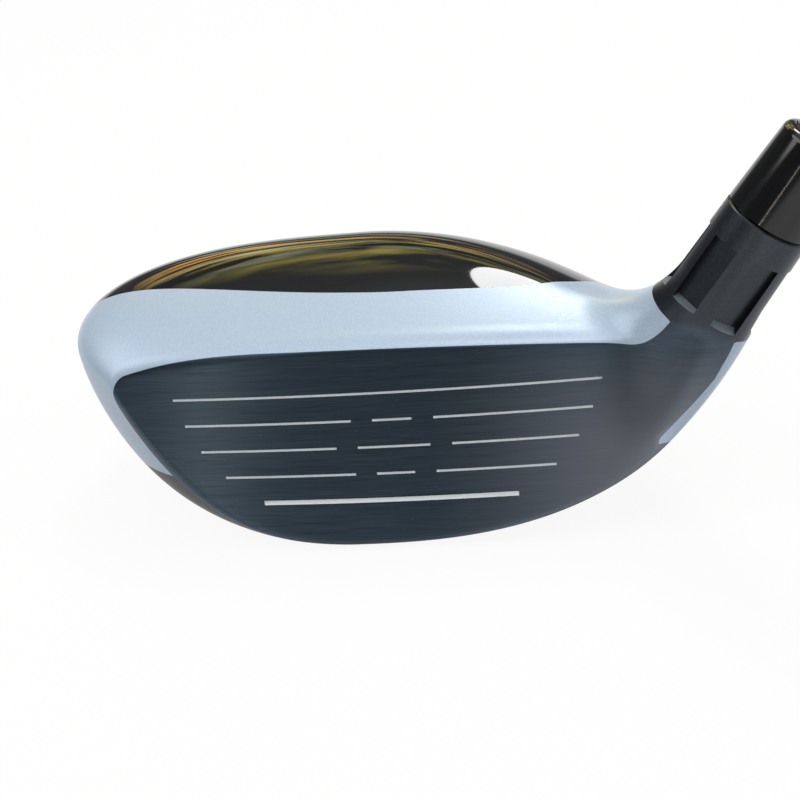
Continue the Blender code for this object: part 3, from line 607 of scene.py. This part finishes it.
def feed(socket, value):
    """Give a socket a plain value or a colour, or link it to another one."""
    if isinstance(value, (float, tuple)):
        socket.default_value = (*value, 1.0) if socket.type == "RGBA" else value
    else:
        socket.id_data.links.new(value, socket)


def fed(node, values):
    for name, value in values.items():
        feed(node.inputs[name], value)


def add(tree, kind, **values):
    """A new node whose sockets are fed, or its settings set, by their names."""
    node = tree.nodes.new(kind)
    for key, value in values.items():
        if key in node.inputs:
            feed(node.inputs[key], value)
        else:
            setattr(node, key, value)
    return node


def in_turn(tree, kind, values, slots=(0, 1, 2), out=0, **settings):
    """What a new node gives when its sockets are fed by their numbers."""
    node = add(tree, kind, **settings)
    for slot, value in zip(slots, values):
        feed(node.inputs[slot], value)
    return node.outputs[out]


def material(name):
    made = bpy.data.materials.new(name)
    made.use_nodes = True
    return made, made.node_tree, made.node_tree.nodes["Principled BSDF"]


def group(name):
    """A part of a material that gives a colour, a roughness and a height."""
    tree = bpy.data.node_groups.new(name, "ShaderNodeTree")
    for label, kind in (("Color", "Color"), ("Roughness", "Float"), ("Height", "Float")):
        tree.interface.new_socket(label, in_out="OUTPUT", socket_type="NodeSocket" + kind)
    return tree, tree.nodes.new("NodeGroupOutput")


def line_mask(tree, name, soft=MASK_SOFT):
    """1 on the inner side of a paint line, 0 outside."""
    line = add(tree, "ShaderNodeAttribute", attribute_name=name).outputs["Fac"]
    return add(tree, "ShaderNodeMapRange", interpolation_type="SMOOTHSTEP", Value=line,
               **{"From Min": -soft, "From Max": soft}).outputs["Result"]


def mix_colour(tree, *values):
    return in_turn(tree, "ShaderNodeMix", values, (0, 6, 7), 2, data_type="RGBA")


def mix_value(tree, *values):
    return in_turn(tree, "ShaderNodeMix", values, (0, 2, 3), data_type="FLOAT")


def maths(tree, operation, *values):
    return in_turn(tree, "ShaderNodeMath", values, operation=operation)


def scaled(tree, *values):
    return in_turn(tree, "ShaderNodeVectorMath", values, (0, 3), operation="SCALE")


def span(tree, value, low, high, start=0.0, end=1.0):
    """A value brought from one range to another, held at both ends."""
    return in_turn(tree, "ShaderNodeMapRange", (value, start, end, low, high), range(5))


def where(tree, source="Object"):
    return add(tree, "ShaderNodeTexCoord").outputs[source]


def noise(tree, scale, detail=2.0, source="Object", roughness=0.5):
    """Noise stretched by a scale along each axis of the piece."""
    stretched = add(tree, "ShaderNodeMapping", Vector=where(tree, source), Scale=scale).outputs["Vector"]
    return add(tree, "ShaderNodeTexNoise", Vector=stretched, Scale=1.0, Detail=detail,
               Roughness=roughness).outputs["Fac"]


def bumped(tree, shader, height, strength, distance):
    bump = add(tree, "ShaderNodeBump", Strength=strength, Distance=distance, Height=height)
    feed(shader.inputs["Normal"], bump.outputs["Normal"])


def grained(name, low, high, rough, scale, detail, metallic=0.0, bump=None):
    """A finish whose colour and roughness vary with an even grain."""
    finish, tree, shader = material(name)
    grain = noise(tree, (scale, scale, scale), detail)
    fed(shader, {"Base Color": mix_colour(tree, grain, low, high), "Roughness": span(tree, grain, *rough),
                 "Metallic": metallic})
    if bump:
        bumped(tree, shader, grain, *bump)
    return finish


def welded(piece):
    """Clear the slivers that cuts leave along their edges, and close what a sliver leaves open."""
    mesh = bmesh.new()
    mesh.from_mesh(piece.data)
    bmesh.ops.remove_doubles(mesh, verts=mesh.verts, dist=WELD)
    bmesh.ops.dissolve_degenerate(mesh, edges=mesh.edges, dist=WELD)
    bmesh.ops.triangulate(mesh, faces=[face for face in mesh.faces if len(face.verts) > 4])
    bmesh.ops.dissolve_degenerate(mesh, edges=mesh.edges, dist=WELD)
    bmesh.ops.remove_doubles(mesh, verts=mesh.verts, dist=WELD)
    bmesh.ops.holes_fill(mesh, edges=[edge for edge in mesh.edges if edge.is_boundary], sides=4)
    mesh.to_mesh(piece.data)
    mesh.free()


def dress(piece, node, slot, *finishes, angle=32.0):
    """Give a finished piece its materials, weld and smooth it, hang it on the root body and hide the model's
    part of that node; slot is not used.
    """
    piece.data.materials.clear()
    for finish in finishes:
        piece.data.materials.append(finish)
    welded(piece)
    select(piece)
    bpy.ops.object.shade_smooth_by_angle(angle=math.radians(angle))
    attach(piece, "root")
    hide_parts(node)


# Brushed metal: very fine level scratches from toe to heel, broad soft bands, a few stray pale marks, and a
# painted sheen that pales the metal towards the heel and fades upwards
brush_with_sheen, brush_out = group("brushing")
scratches = noise(brush_with_sheen, (110.0, 0.0, 9000.0), 4.0, roughness=0.65)
bands = noise(brush_with_sheen, (25.0, 0.0, 900.0), 3.0)
marks = noise(brush_with_sheen, (700.0, 0.0, 2600.0), 2.0)
both = maths(brush_with_sheen, "MULTIPLY_ADD", scratches, 0.7, span(brush_with_sheen, bands, 0.0, 0.3))
place = add(brush_with_sheen, "ShaderNodeSeparateXYZ", Vector=where(brush_with_sheen)).outputs
# Painted sheen: the base is paled towards the heel and low on it, standing in for the light the metal reflects
# there
painted_heel_sheen = maths(brush_with_sheen, "MULTIPLY", span(brush_with_sheen, place["X"], 0.0, 0.75, *BRUSH_SHEEN_PAINTED_X),
                span(brush_with_sheen, place["Z"], 1.0, 0.15, *BRUSH_SHEEN_PAINTED_H))
tone = mix_colour(brush_with_sheen, span(brush_with_sheen, both, 0.0, 1.0, 0.32, 0.72), BRUSH_DARK, BRUSH_PALE)
tone = mix_colour(brush_with_sheen, painted_heel_sheen, tone, BRUSH_SHEEN_PAINTED)
tone = mix_colour(brush_with_sheen, span(brush_with_sheen, marks, 0.0, 0.5, 0.70, 0.80), tone, BRUSH_MARK)
rough = mix_value(brush_with_sheen, span(brush_with_sheen, place["X"], 0.0, 1.0, *BRUSH_NECK_X),
                  span(brush_with_sheen, both, 0.26, 0.36), span(brush_with_sheen, both, 0.42, 0.52))
fed(brush_out, {"Color": tone, "Roughness": rough, "Height": both})

# Pearl paint: a satin coat full of fine flakes that sparkle
pearl, pearl_out = group("pearl")
flakes = add(pearl, "ShaderNodeTexVoronoi", Vector=where(pearl), Scale=5200.0).outputs["Color"]
flake = add(pearl, "ShaderNodeSeparateColor", Color=flakes).outputs
fed(pearl_out, {"Color": scaled(pearl, PEARL, span(pearl, flake["Red"], 0.94, 1.06)),
                "Roughness": span(pearl, flake["Green"], 0.28, 0.40), "Height": flake["Blue"]})


def flat_map(piece):
    """A map of a piece as seen from the front, for the lay of the brushing."""
    mesh = piece.data
    layer = mesh.uv_layers.new(name="lay")
    corners = np.array([mesh.vertices[corner.vertex_index].co for corner in mesh.loops], np.float32)
    layer.data.foreach_set("uv", np.ascontiguousarray(corners[:, [0, 2]]).ravel())


# Brushed finish of the plate and of the metal round it, with its painted heel sheen, which glints across the
# lay of the brushing
plate_finish, tree, shader = material("face_brushed_with_sheen")
brushing = add(tree, "ShaderNodeGroup", node_tree=brush_with_sheen).outputs
lay = add(tree, "ShaderNodeTangent", direction_type="UV_MAP", uv_map="lay")
fed(shader, {
    "Base Color": brushing["Color"], "Roughness": brushing["Roughness"], "Metallic": BRUSH_METAL,
    "Anisotropic": BRUSH_LAY, "Anisotropic Rotation": 0.25, "Tangent": lay.outputs["Tangent"]})
bumped(tree, shader, brushing["Height"], *FINE_BUMP)

# Flute ledges: the sloping lower ends of the pockets, which face up the shaft, take a paler satin grey, a
# painted highlight for the light they catch
LEDGE_NEAR, LEDGE_HIGH, LEDGE_DEEP, LEDGE_FACING = 0.0001, 0.001, 0.0003, 0.6
ledge_painted_highlight = grained("flute_ledge_painted_highlight", (0.15, 0.18, 0.21), (0.24, 0.28, 0.33), (0.35, 0.5),
                       SATIN_GRAIN, 3.0, metallic=0.3)

# Head paint: the coats lie over the black lacquer one after another, each where its paint line lets it
BRUSHED_INSIDE = 0.1
head_paint, tree, shader = material("head_paint")
face_mask = line_mask(tree, "face_line")
sole_mask = line_mask(tree, "sole_line", SOLE_SOFT)
collar_mask = mix_value(tree, face_mask, line_mask(tree, "collar_line"),
                        line_mask(tree, "collar_line", COLLAR_SOFT))
masks = line_mask(tree, "silver_line"), face_mask, collar_mask
pearly = add(tree, "ShaderNodeGroup", node_tree=pearl).outputs
brushing = add(tree, "ShaderNodeGroup", node_tree=brush_with_sheen).outputs
grain = noise(tree, (SATIN_GRAIN, SATIN_GRAIN, SATIN_GRAIN), 3.0)
coats = {
    "Base Color": (mix_colour, mix_colour(tree, grain, LACQUER, LACQUER_PALE), pearly["Color"],
                   brushing["Color"], mix_colour(tree, grain, SATIN, SATIN_PALE)),
    "Roughness": (mix_value, mix_value(tree, sole_mask, span(tree, grain, 0.34, 0.50), 0.05),
                  pearly["Roughness"], brushing["Roughness"], span(tree, grain, 0.28, 0.40)),
    "Metallic": (mix_value, 0.0, 0.08, BRUSH_METAL, 1.0),
    "Height": (mix_value, mix_value(tree, sole_mask, grain, 0.0), pearly["Height"], brushing["Height"], grain)}
sockets = {}
for name, (blend, value, *over) in coats.items():
    for mask, coat in zip(masks, over):
        value = blend(tree, mask, value, coat)
    sockets[name] = value
bumped(tree, shader, sockets.pop("Height"), *FINE_BUMP)
fed(shader, sockets)
flat_map(head)
dress(head, "head_body", "pearl_silver", head_paint, plate_finish, ledge_painted_highlight)
face_line, collar_line = (np.array([spot.value for spot in head.data.attributes[name].data])
                          for name in ("face_line", "collar_line"))
for face in head.data.polygons:
    corners = list(face.vertices)
    from_foot = np.array(face.center) - SHAFT_FOOT
    reach = from_foot @ SHAFT_DIR
    across = np.linalg.norm(from_foot - reach * SHAFT_DIR)
    # Faces at the pockets' lower ends that face up the shaft get the paler grey of the painted highlight;
    # deeper ones keep the head paint
    if (across < HOSEL_BASE_R + LEDGE_NEAR and reach < FLUTE_LOW + LEDGE_HIGH
            and np.array(face.normal) @ SHAFT_DIR > LEDGE_FACING):
        face.material_index = 2 if across > FLUTE_FLOOR - LEDGE_DEEP else 0
    elif min(face_line[corners]) > BRUSHED_INSIDE and max(collar_line[corners]) < -COLLAR_SOFT:
        face.material_index = 1

# Score lines: paint in the milled grooves, whitest in the lowest one and at the start of each line
score_grey = grained("score_grey", (0.62, 0.68, 0.73), (0.86, 0.90, 0.93), (0.4, 0.6), 5200.0, 2.0)
score_white = grained("score_white", (0.84, 0.88, 0.90), (0.92, 0.95, 0.96), (0.4, 0.6), 5200.0, 2.0)
flat_map(plate)
dress(plate, "face_plate", "brushed_black", plate_finish, score_grey, score_white)
for face in plate.data.polygons:
    centre = face.center
    behind = (centre.y - face_y(centre.x, centre.z)) * math.cos(LOFT)
    aside = min(abs(centre.z - SCORE_LOW_H - row * SCORE_PITCH) - width
                for row, width in enumerate(SCORE_WIDTH))
    if SCORE_SKIN < behind < SCORE_DEPTH * SCORE_REACH and aside < 0:
        at_dot = any(0 <= centre.x - x <= SCORE_DOT and abs(centre.z - z) < SCORE_DEPTH * 2
                     for x, z in score_starts)
        lowest = centre.z < SCORE_LOW_H + SCORE_PITCH / 2
        face.material_index = 2 if lowest or at_dot else 1

# Crown panel finish: deep black lacquer, flowed out smooth, with the faintest unevenness
dress(panel, "crown_panel", "gloss_black", grained(
    "crown_lacquer", (0.006, 0.006, 0.007), (0.009, 0.009, 0.010), (0.02, 0.04), 900.0, 4.0))

# Filler and screw finishes: matt moulded polymer, and bare steel with rings from the lathe
dress(filler, "slot_filler", "black_polymer", grained(
    "filler_polymer", (0.014, 0.014, 0.015), (0.028, 0.028, 0.030), (0.48, 0.66), 3000.0, 3.0,
    bump=(0.3, 0.00005)))
screw_finish, tree, shader = material("screw_steel")
centred = add(tree, "ShaderNodeMapping", Vector=where(tree), Location=(-WEIGHT_X, -WEIGHT_Y, 0.0))
turning = add(tree, "ShaderNodeTexWave", wave_type="RINGS", rings_direction="Z", Scale=2200.0, Distortion=1.5,
              Detail=2.0, Vector=centred.outputs["Vector"]).outputs["Fac"]
fed(shader, {
    "Base Color": mix_colour(tree, turning, (0.42, 0.42, 0.43), (0.62, 0.62, 0.63)),
    "Roughness": span(tree, turning, 0.26, 0.40), "Metallic": 1.0})
bumped(tree, shader, turning, 0.2, 0.00002)
dress(screw, "sole_weight", "steel", screw_finish)

# Ferrule. A turned and polished black collar pushed over the shaft down to the hosel; it tapers a little
# and ends in a rounded shoulder.
FERRULE_LOW, FERRULE_HIGH, FERRULE_BORE_R = 0.0575, 0.0714, 0.0048
FERRULE_BASE_R, FERRULE_TOP_R, FERRULE_ROUND, FERRULE_EDGE = 0.0069, 0.0062, 0.0013, 0.0002
FULL_TURN, EDGE_TURNS = np.linspace(0.0, 360.0, ROUND + 1)[:-1], 12


def sleeve(name, profile):
    """A tube about the shaft's line from (radius, reach) steps that go once round its wall."""
    return lofted(name, [hosel_ring(reach, radius, FULL_TURN) for radius, reach in profile], wrap=True)


def unrolled(piece):
    """A map of a piece round the shaft's line: one way the turn, the other way the reach in metres."""
    mesh = piece.data
    co = np.array([v.co for v in mesh.vertices]) - SHAFT_FOOT
    reach = co @ SHAFT_DIR
    turn = np.arctan2(co @ outward, -co[:, 1]) / (2 * math.pi)
    layer = mesh.uv_layers.new(name="unrolled")
    spots = np.zeros((len(mesh.loops), 2), np.float32)
    for face in mesh.polygons:
        verts = np.array(face.vertices)
        around = turn[verts]
        around = around[0] + (around - around[0] + 0.5) % 1.0 - 0.5
        spots[face.loop_start:face.loop_start + len(verts), 0] = around
        spots[face.loop_start:face.loop_start + len(verts), 1] = reach[verts]
    layer.data.foreach_set("uv", spots.ravel())


def rounded(radius, reach, round_r, turns):
    """A rounded outer edge as (radius, reach) steps."""
    return [(radius - round_r * (1 - math.cos(turn)), reach - round_r * (1 - math.sin(turn))) for turn in turns]


ferrule = sleeve("ferrule_collar", [
    (FERRULE_BORE_R, FERRULE_LOW), (FERRULE_BASE_R - FERRULE_EDGE, FERRULE_LOW),
    (FERRULE_BASE_R, FERRULE_LOW + FERRULE_EDGE),
    *rounded(FERRULE_TOP_R, FERRULE_HIGH, FERRULE_ROUND, np.linspace(0.0, math.pi / 2, EDGE_TURNS + 1)),
    (FERRULE_BORE_R, FERRULE_HIGH)])
unrolled(ferrule)
ferrule_finish, tree, shader = material("ferrule_polish")
wipes = noise(tree, (26.0, 60.0, 1.0), 3.0, "UV")
fed(shader, {
    "Base Color": mix_colour(tree, span(tree, wipes, 0.0, 1.0, 0.45, 0.75), (0.003, 0.003, 0.004),
                             (0.010, 0.011, 0.012)), "Roughness": span(tree, wipes, 0.05, 0.16)})
dress(ferrule, "ferrule", "ferrule_black", ferrule_finish)

# Shaft. A tapering tube of carbon fibre wound on a mandrel, ground smooth and lacquered clear over black,
# bonded into the hosel's bore; under the lacquer the windings cross each other.
SHAFT_TIP, SHAFT_BUTT, SHAFT_PARALLEL = 0.0255, 1.0119, 0.1200
SHAFT_TIP_R, SHAFT_BUTT_R, SHAFT_WALL = 0.0047, 0.0076, 0.0012
SHAFT_STEPS, WEAVE_AROUND, WEAVE_ALONG = 90, 24.0, 900.0


def shaft_radius(reach):
    run = max(reach - SHAFT_TIP - SHAFT_PARALLEL, 0.0) / (SHAFT_BUTT - SHAFT_TIP - SHAFT_PARALLEL)
    return SHAFT_TIP_R + (SHAFT_BUTT_R - SHAFT_TIP_R) * run


stops = np.linspace(SHAFT_TIP, SHAFT_BUTT, SHAFT_STEPS + 1)
shaft = sleeve("shaft_tube", [(shaft_radius(stop), stop) for stop in stops]
               + [(shaft_radius(stop) - SHAFT_WALL, stop) for stop in stops[::-1]])
unrolled(shaft)
shaft_finish, tree, shader = material("shaft_carbon")
weave = []
for lean in (1.0, -1.0):
    co = add(tree, "ShaderNodeUVMap", uv_map="unrolled").outputs["UV"]
    slant = add(tree, "ShaderNodeMapping", Vector=co, Scale=(WEAVE_AROUND, WEAVE_ALONG * lean, 1.0))
    weave.append(add(tree, "ShaderNodeTexWave", wave_type="BANDS", bands_direction="DIAGONAL", Scale=0.5,
                     Distortion=0.4, Vector=slant.outputs["Vector"]).outputs["Fac"])
crossed = maths(tree, "MULTIPLY", *weave)
fed(shader, {
    "Base Color": mix_colour(tree, crossed, (0.008, 0.008, 0.009), (0.030, 0.031, 0.034)),
    "Roughness": span(tree, crossed, 0.30, 0.42), "Coat Weight": 0.8, "Coat Roughness": 0.06})
dress(shaft, "shaft", "carbon_black", shaft_finish)

# Grip. A tapered sleeve of moulded rubber pushed over tape onto the shaft; rows of sunk lozenges give hold,
# with plain bands between them and a rolled lip at the mouth.
GRIP_MOUTH, GRIP_MOUTH_R, GRIP_BUTT_R, GRIP_LIP = 0.7490, 0.0100, 0.0135, 0.0008
GRIP_GAP, GRIP_TURNS, GRIP_ROWS = 0.0005, 128, 526
LOZENGE_AROUND, LOZENGE_PITCH, LOZENGE_DEPTH, LOZENGE_HALF, LOZENGE_SLOPE = 16, 0.0080, 0.00045, 0.40, 0.12
GRIP_BANDS = ((0.7490, 0.7610), (0.8290, 0.8370), (0.9090, 0.9170), (0.9960, 1.0119))
GRIP_RINGS, GRIP_RING_HALF, GRIP_RING_DEPTH = (0.7550, 0.8330, 0.9130, 1.0020, 1.0060), 0.0008, 0.0004
grip_turn = np.linspace(0.0, 360.0, GRIP_TURNS + 1)[:-1]


def grip_ring(reach):
    """A ring of the grip's outside with the lozenges and rings that are sunk into it."""
    run = (reach - GRIP_MOUTH) / (SHAFT_BUTT - GRIP_MOUTH)
    radius = GRIP_MOUTH_R + (GRIP_BUTT_R - GRIP_MOUTH_R) * run
    edge = max(GRIP_LIP - (reach - GRIP_MOUTH), 0.0)
    radius -= GRIP_LIP - math.sqrt(max(GRIP_LIP ** 2 - edge ** 2, 0.0))
    radius -= GRIP_RING_DEPTH * max(max(0.0, 1 - (abs(reach - at) / GRIP_RING_HALF) ** 2) for at in GRIP_RINGS)
    sunk = np.zeros(GRIP_TURNS)
    if not any(low <= reach <= high for low, high in GRIP_BANDS):
        row = (reach - GRIP_MOUTH) / LOZENGE_PITCH
        for shift in (0.0, 0.5):
            along = abs((row + shift) % 1.0 - 0.5)
            across = np.abs((grip_turn / 360 * LOZENGE_AROUND + shift) % 1.0 - 0.5)
            sunk = np.maximum(sunk, np.clip((LOZENGE_HALF - along - across) / LOZENGE_SLOPE, 0.0, 1.0))
    return hosel_ring(reach, (radius - LOZENGE_DEPTH * sunk)[:, None], grip_turn)


outside = [grip_ring(reach) for reach in np.linspace(GRIP_MOUTH, SHAFT_BUTT, GRIP_ROWS + 1)]
inside = [hosel_ring(reach, shaft_radius(reach) + GRIP_GAP, grip_turn) for reach in (SHAFT_BUTT, GRIP_MOUTH)]
grip = lofted("grip_rubber", outside + inside, wrap=True)


def rubber(name):
    finish, tree, shader = material(name)
    grain = noise(tree, (1800.0, 1800.0, 1800.0), 4.0)
    dust = noise(tree, (60.0, 60.0, 60.0), 3.0)
    tone = mix_colour(tree, grain, (0.012, 0.012, 0.012), (0.024, 0.024, 0.024))
    tone = mix_colour(tree, span(tree, dust, 0.0, 0.4, 0.5, 0.8), tone, (0.045, 0.044, 0.042))
    fed(shader, {"Base Color": tone, "Roughness": span(tree, grain, 0.58, 0.78)})
    bumped(tree, shader, grain, 0.35, 0.0001)
    return finish


dress(grip, "grip", "rubber", rubber("grip_rubber"), angle=40.0)

# Grip cap. The moulded end of the grip, its spigot inside the shaft, with a vent hole in the middle, a
# rounded rim and a sunk ring.
CAP_LOW, CAP_HIGH, CAP_R, CAP_ROUND = 1.0120, 1.0160, 0.0135, 0.0020
CAP_VENT_R, CAP_SPIGOT_R, CAP_SPIGOT = 0.0015, 0.0063, 0.0060
CAP_RING_R, CAP_RING_HALF, CAP_RING_DEPTH, CAP_VENT_ROUND = 0.0085, 0.0008, 0.0006, 0.0004
RIM_TURNS, RING_TURNS = 10, 8
rim = rounded(CAP_R, CAP_HIGH, CAP_ROUND, np.linspace(math.pi / 2, 0.0, RIM_TURNS + 1))
groove_steps = [(CAP_RING_R + CAP_RING_HALF * math.cos(turn), CAP_HIGH - CAP_RING_DEPTH * math.sin(turn))
                for turn in np.linspace(math.pi, 0.0, RING_TURNS + 1)]
cap = sleeve("grip_cap_moulded", [
    (CAP_VENT_R, CAP_LOW - CAP_SPIGOT), (CAP_VENT_R, CAP_HIGH - CAP_VENT_ROUND),
    (CAP_VENT_R + CAP_VENT_ROUND, CAP_HIGH), *groove_steps, *rim, (CAP_R, CAP_LOW),
    (CAP_SPIGOT_R, CAP_LOW), (CAP_SPIGOT_R, CAP_LOW - CAP_SPIGOT)])
dress(cap, "grip_cap", "rubber", rubber("cap_rubber"))

# Hidden pieces. The cured resin in the bore, the plug in the shaft's tip and the tape under the grip stay as
# they are in the frame, and get their own finishes.
for node, low, high, rough, scale in (
        ("hosel_epoxy", (0.48, 0.38, 0.20), (0.66, 0.56, 0.34), (0.30, 0.50), 700.0),
        ("tip_plug", (0.014, 0.014, 0.014), (0.030, 0.030, 0.030), (0.5, 0.7), 1500.0),
        ("grip_tape", (0.66, 0.60, 0.48), (0.80, 0.75, 0.64), (0.7, 0.9), 1200.0)):
    finish = grained(node + "_finish", low, high, rough, scale, 4.0)
    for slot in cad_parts[node].material_slots:
        slot.material = finish

# Floor: a plain pale sheet under the club that stays white in the picture and keeps the club's shadow
FLOOR_SIZE, FLOOR_LOW, FLOOR_WHITE, FLOOR_ROOM, FLOOR_SHARE = 40.0, 0.0002, 0.95, 0.20, 0.92
bpy.ops.mesh.primitive_plane_add(size=FLOOR_SIZE, location=(0.0, 0.0, -FLOOR_LOW))
floor = bpy.context.object
floor.name = "floor"
floor_finish, tree, shader = material("floor_pale")
tree.nodes.remove(shader)
white = add(tree, "ShaderNodeEmission", Color=(1.0, 1.0, 1.0), Strength=1.0)
sheet = add(tree, "ShaderNodeBsdfDiffuse", Color=(FLOOR_WHITE, FLOOR_WHITE, FLOOR_WHITE))
room = add(tree, "ShaderNodeBsdfDiffuse", Color=(FLOOR_ROOM, FLOOR_ROOM, FLOOR_ROOM))
rays = add(tree, "ShaderNodeLightPath").outputs
seen = maths(tree, "MAXIMUM", rays["Is Camera Ray"], rays["Is Glossy Ray"])
seen = maths(tree, "MAXIMUM", seen, rays["Is Transmission Ray"])
lit = in_turn(tree, "ShaderNodeMixShader", (FLOOR_SHARE, sheet.outputs["BSDF"], white.outputs["Emission"]))
shown = in_turn(tree, "ShaderNodeMixShader", (seen, room.outputs["BSDF"], lit))
feed(tree.nodes["Material Output"].inputs["Surface"], shown)
floor.data.materials.append(floor_finish)

# Surroundings: pale at the horizon and overhead, dimmer between, with a warm uneven patch low behind the club
SKY = ((0.0, 0.85), (0.03, 0.60), (0.09, 0.13), (0.45, 0.12), (0.70, 0.14), (0.84, 0.30), (0.94, 1.0))
SKY_TINT, SKY_STRENGTH = (0.96, 0.99, 1.0), 1.15
PATCH_AZ, PATCH_EL, PATCH_INNER, PATCH_OUTER, PATCH_LEVEL = -11.0, 32.0, 0.98, 0.91, 6.5
PATCH_LOW, PATCH_HIGH, PATCH_OLIVE = (1.0, 0.50, 0.10), (0.95, 0.80, 0.13), (0.66, 0.74, 0.46)


def direction(azimuth, elevation):
    """The way from the head to a place round it; 0 is behind the head and 90 on the heel's side."""
    a, e = math.radians(azimuth), math.radians(elevation)
    return Vector((math.sin(a) * math.cos(e), math.cos(a) * math.cos(e), math.sin(e)))


world = bpy.data.worlds.new("studio")
bpy.context.scene.world = world
world.use_nodes = True
tree = world.node_tree
way = where(tree, "Generated")
height = add(tree, "ShaderNodeSeparateXYZ", Vector=way).outputs["Z"]
sky = add(tree, "ShaderNodeValToRGB", Fac=height)
for index, (at, level) in enumerate(SKY):
    stop = sky.color_ramp.elements[index] if index < 1 else sky.color_ramp.elements.new(at)
    stop.position = at
    stop.color = (*(level * part for part in SKY_TINT), 1.0)
sky.color_ramp.elements.remove(sky.color_ramp.elements[-1])
facing = in_turn(tree, "ShaderNodeVectorMath", (way, tuple(direction(PATCH_AZ, PATCH_EL))), out=1,
                 operation="DOT_PRODUCT")
near = span(tree, facing, 0.0, 1.0, PATCH_OUTER, PATCH_INNER)
streaks = noise(tree, (2.4, 2.4, 11.0), 5.0, "Generated", 0.62)
hues = noise(tree, (1.6, 1.6, 16.0), 2.0, "Generated")
uneven = maths(tree, "MULTIPLY", near, span(tree, streaks, 0.0, PATCH_LEVEL, 0.44, 0.60))
warm = mix_colour(tree, span(tree, height, 0.0, 1.0, 0.45, 0.78), PATCH_LOW, PATCH_HIGH)
warm = mix_colour(tree, span(tree, hues, 0.0, 1.0, 0.45, 0.60), warm, PATCH_OLIVE)
total = in_turn(tree, "ShaderNodeVectorMath", (sky.outputs["Color"], scaled(tree, warm, uneven)),
                operation="ADD")
fed(tree.nodes["Background"], {"Color": total, "Strength": SKY_STRENGTH})

# Lamps: a soft one high behind, one on each side, two low ones in front and a tall narrow one in front


def lamp(name, azimuth, elevation, distance, size, radiance, colour=(1.0, 1.0, 1.0)):
    """A soft lamp in a direction from the head, facing the head."""
    light = bpy.data.lights.new(name, "AREA")
    light.shape = "ELLIPSE"
    light.size, light.size_y = size
    light.energy = radiance * math.pi * math.pi / 4 * size[0] * size[1]
    light.color = colour
    made = placed(name, light)
    way = direction(azimuth, elevation)
    made.location = way * distance
    made.rotation_euler = (-way).to_track_quat("-Z", "Y").to_euler()
    made.visible_camera = False


lamp("high_lamp", 13.0, 57.0, 0.9, (0.25, 0.24), 15.5)
lamp("left_lamp", -95.0, 46.0, 0.8, (0.56, 0.45), 3.0)
lamp("side_lamp", 86.0, 40.0, 0.7, (0.29, 0.29), 3.5)
lamp("low_lamp", 149.0, 5.0, 0.6, (0.58, 0.20), 4.2)
lamp("fill_lamp", -131.0, 6.0, 0.6, (0.20, 0.14), 1.5)
lamp("narrow_lamp", -153.0, 12.0, 0.6, (0.010, 0.34), 12.0, (1.0, 0.93, 0.80))

# Camera: at the photograph's place, a little to the heel's side and above, and rolled as it is there
CAMERA_AT, LENS, SENSOR, CLIP = Vector((0.03281, -0.16942, 0.12651)), 54.0, 36.0, 0.005
YAW, DOWN, ROLL = math.radians(10.7), math.radians(31.5), math.radians(8.7)
away = Vector((math.sin(YAW) * math.cos(DOWN), -math.cos(YAW) * math.cos(DOWN), math.sin(DOWN)))
level_right = Vector((math.cos(YAW), math.sin(YAW), 0.0))
level_up = level_right.cross(-away)
right = math.cos(ROLL) * level_right - math.sin(ROLL) * level_up
up = math.sin(ROLL) * level_right + math.cos(ROLL) * level_up
view = bpy.data.cameras.new("view")
view.lens, view.sensor_width, view.clip_start = LENS, SENSOR, CLIP
camera = placed("view", view)
camera.matrix_world = Matrix.Translation(CAMERA_AT) @ Matrix((right, up, away)).transposed().to_4x4()
bpy.context.scene.camera = camera
bpy.context.scene.view_settings.view_transform = "Standard"
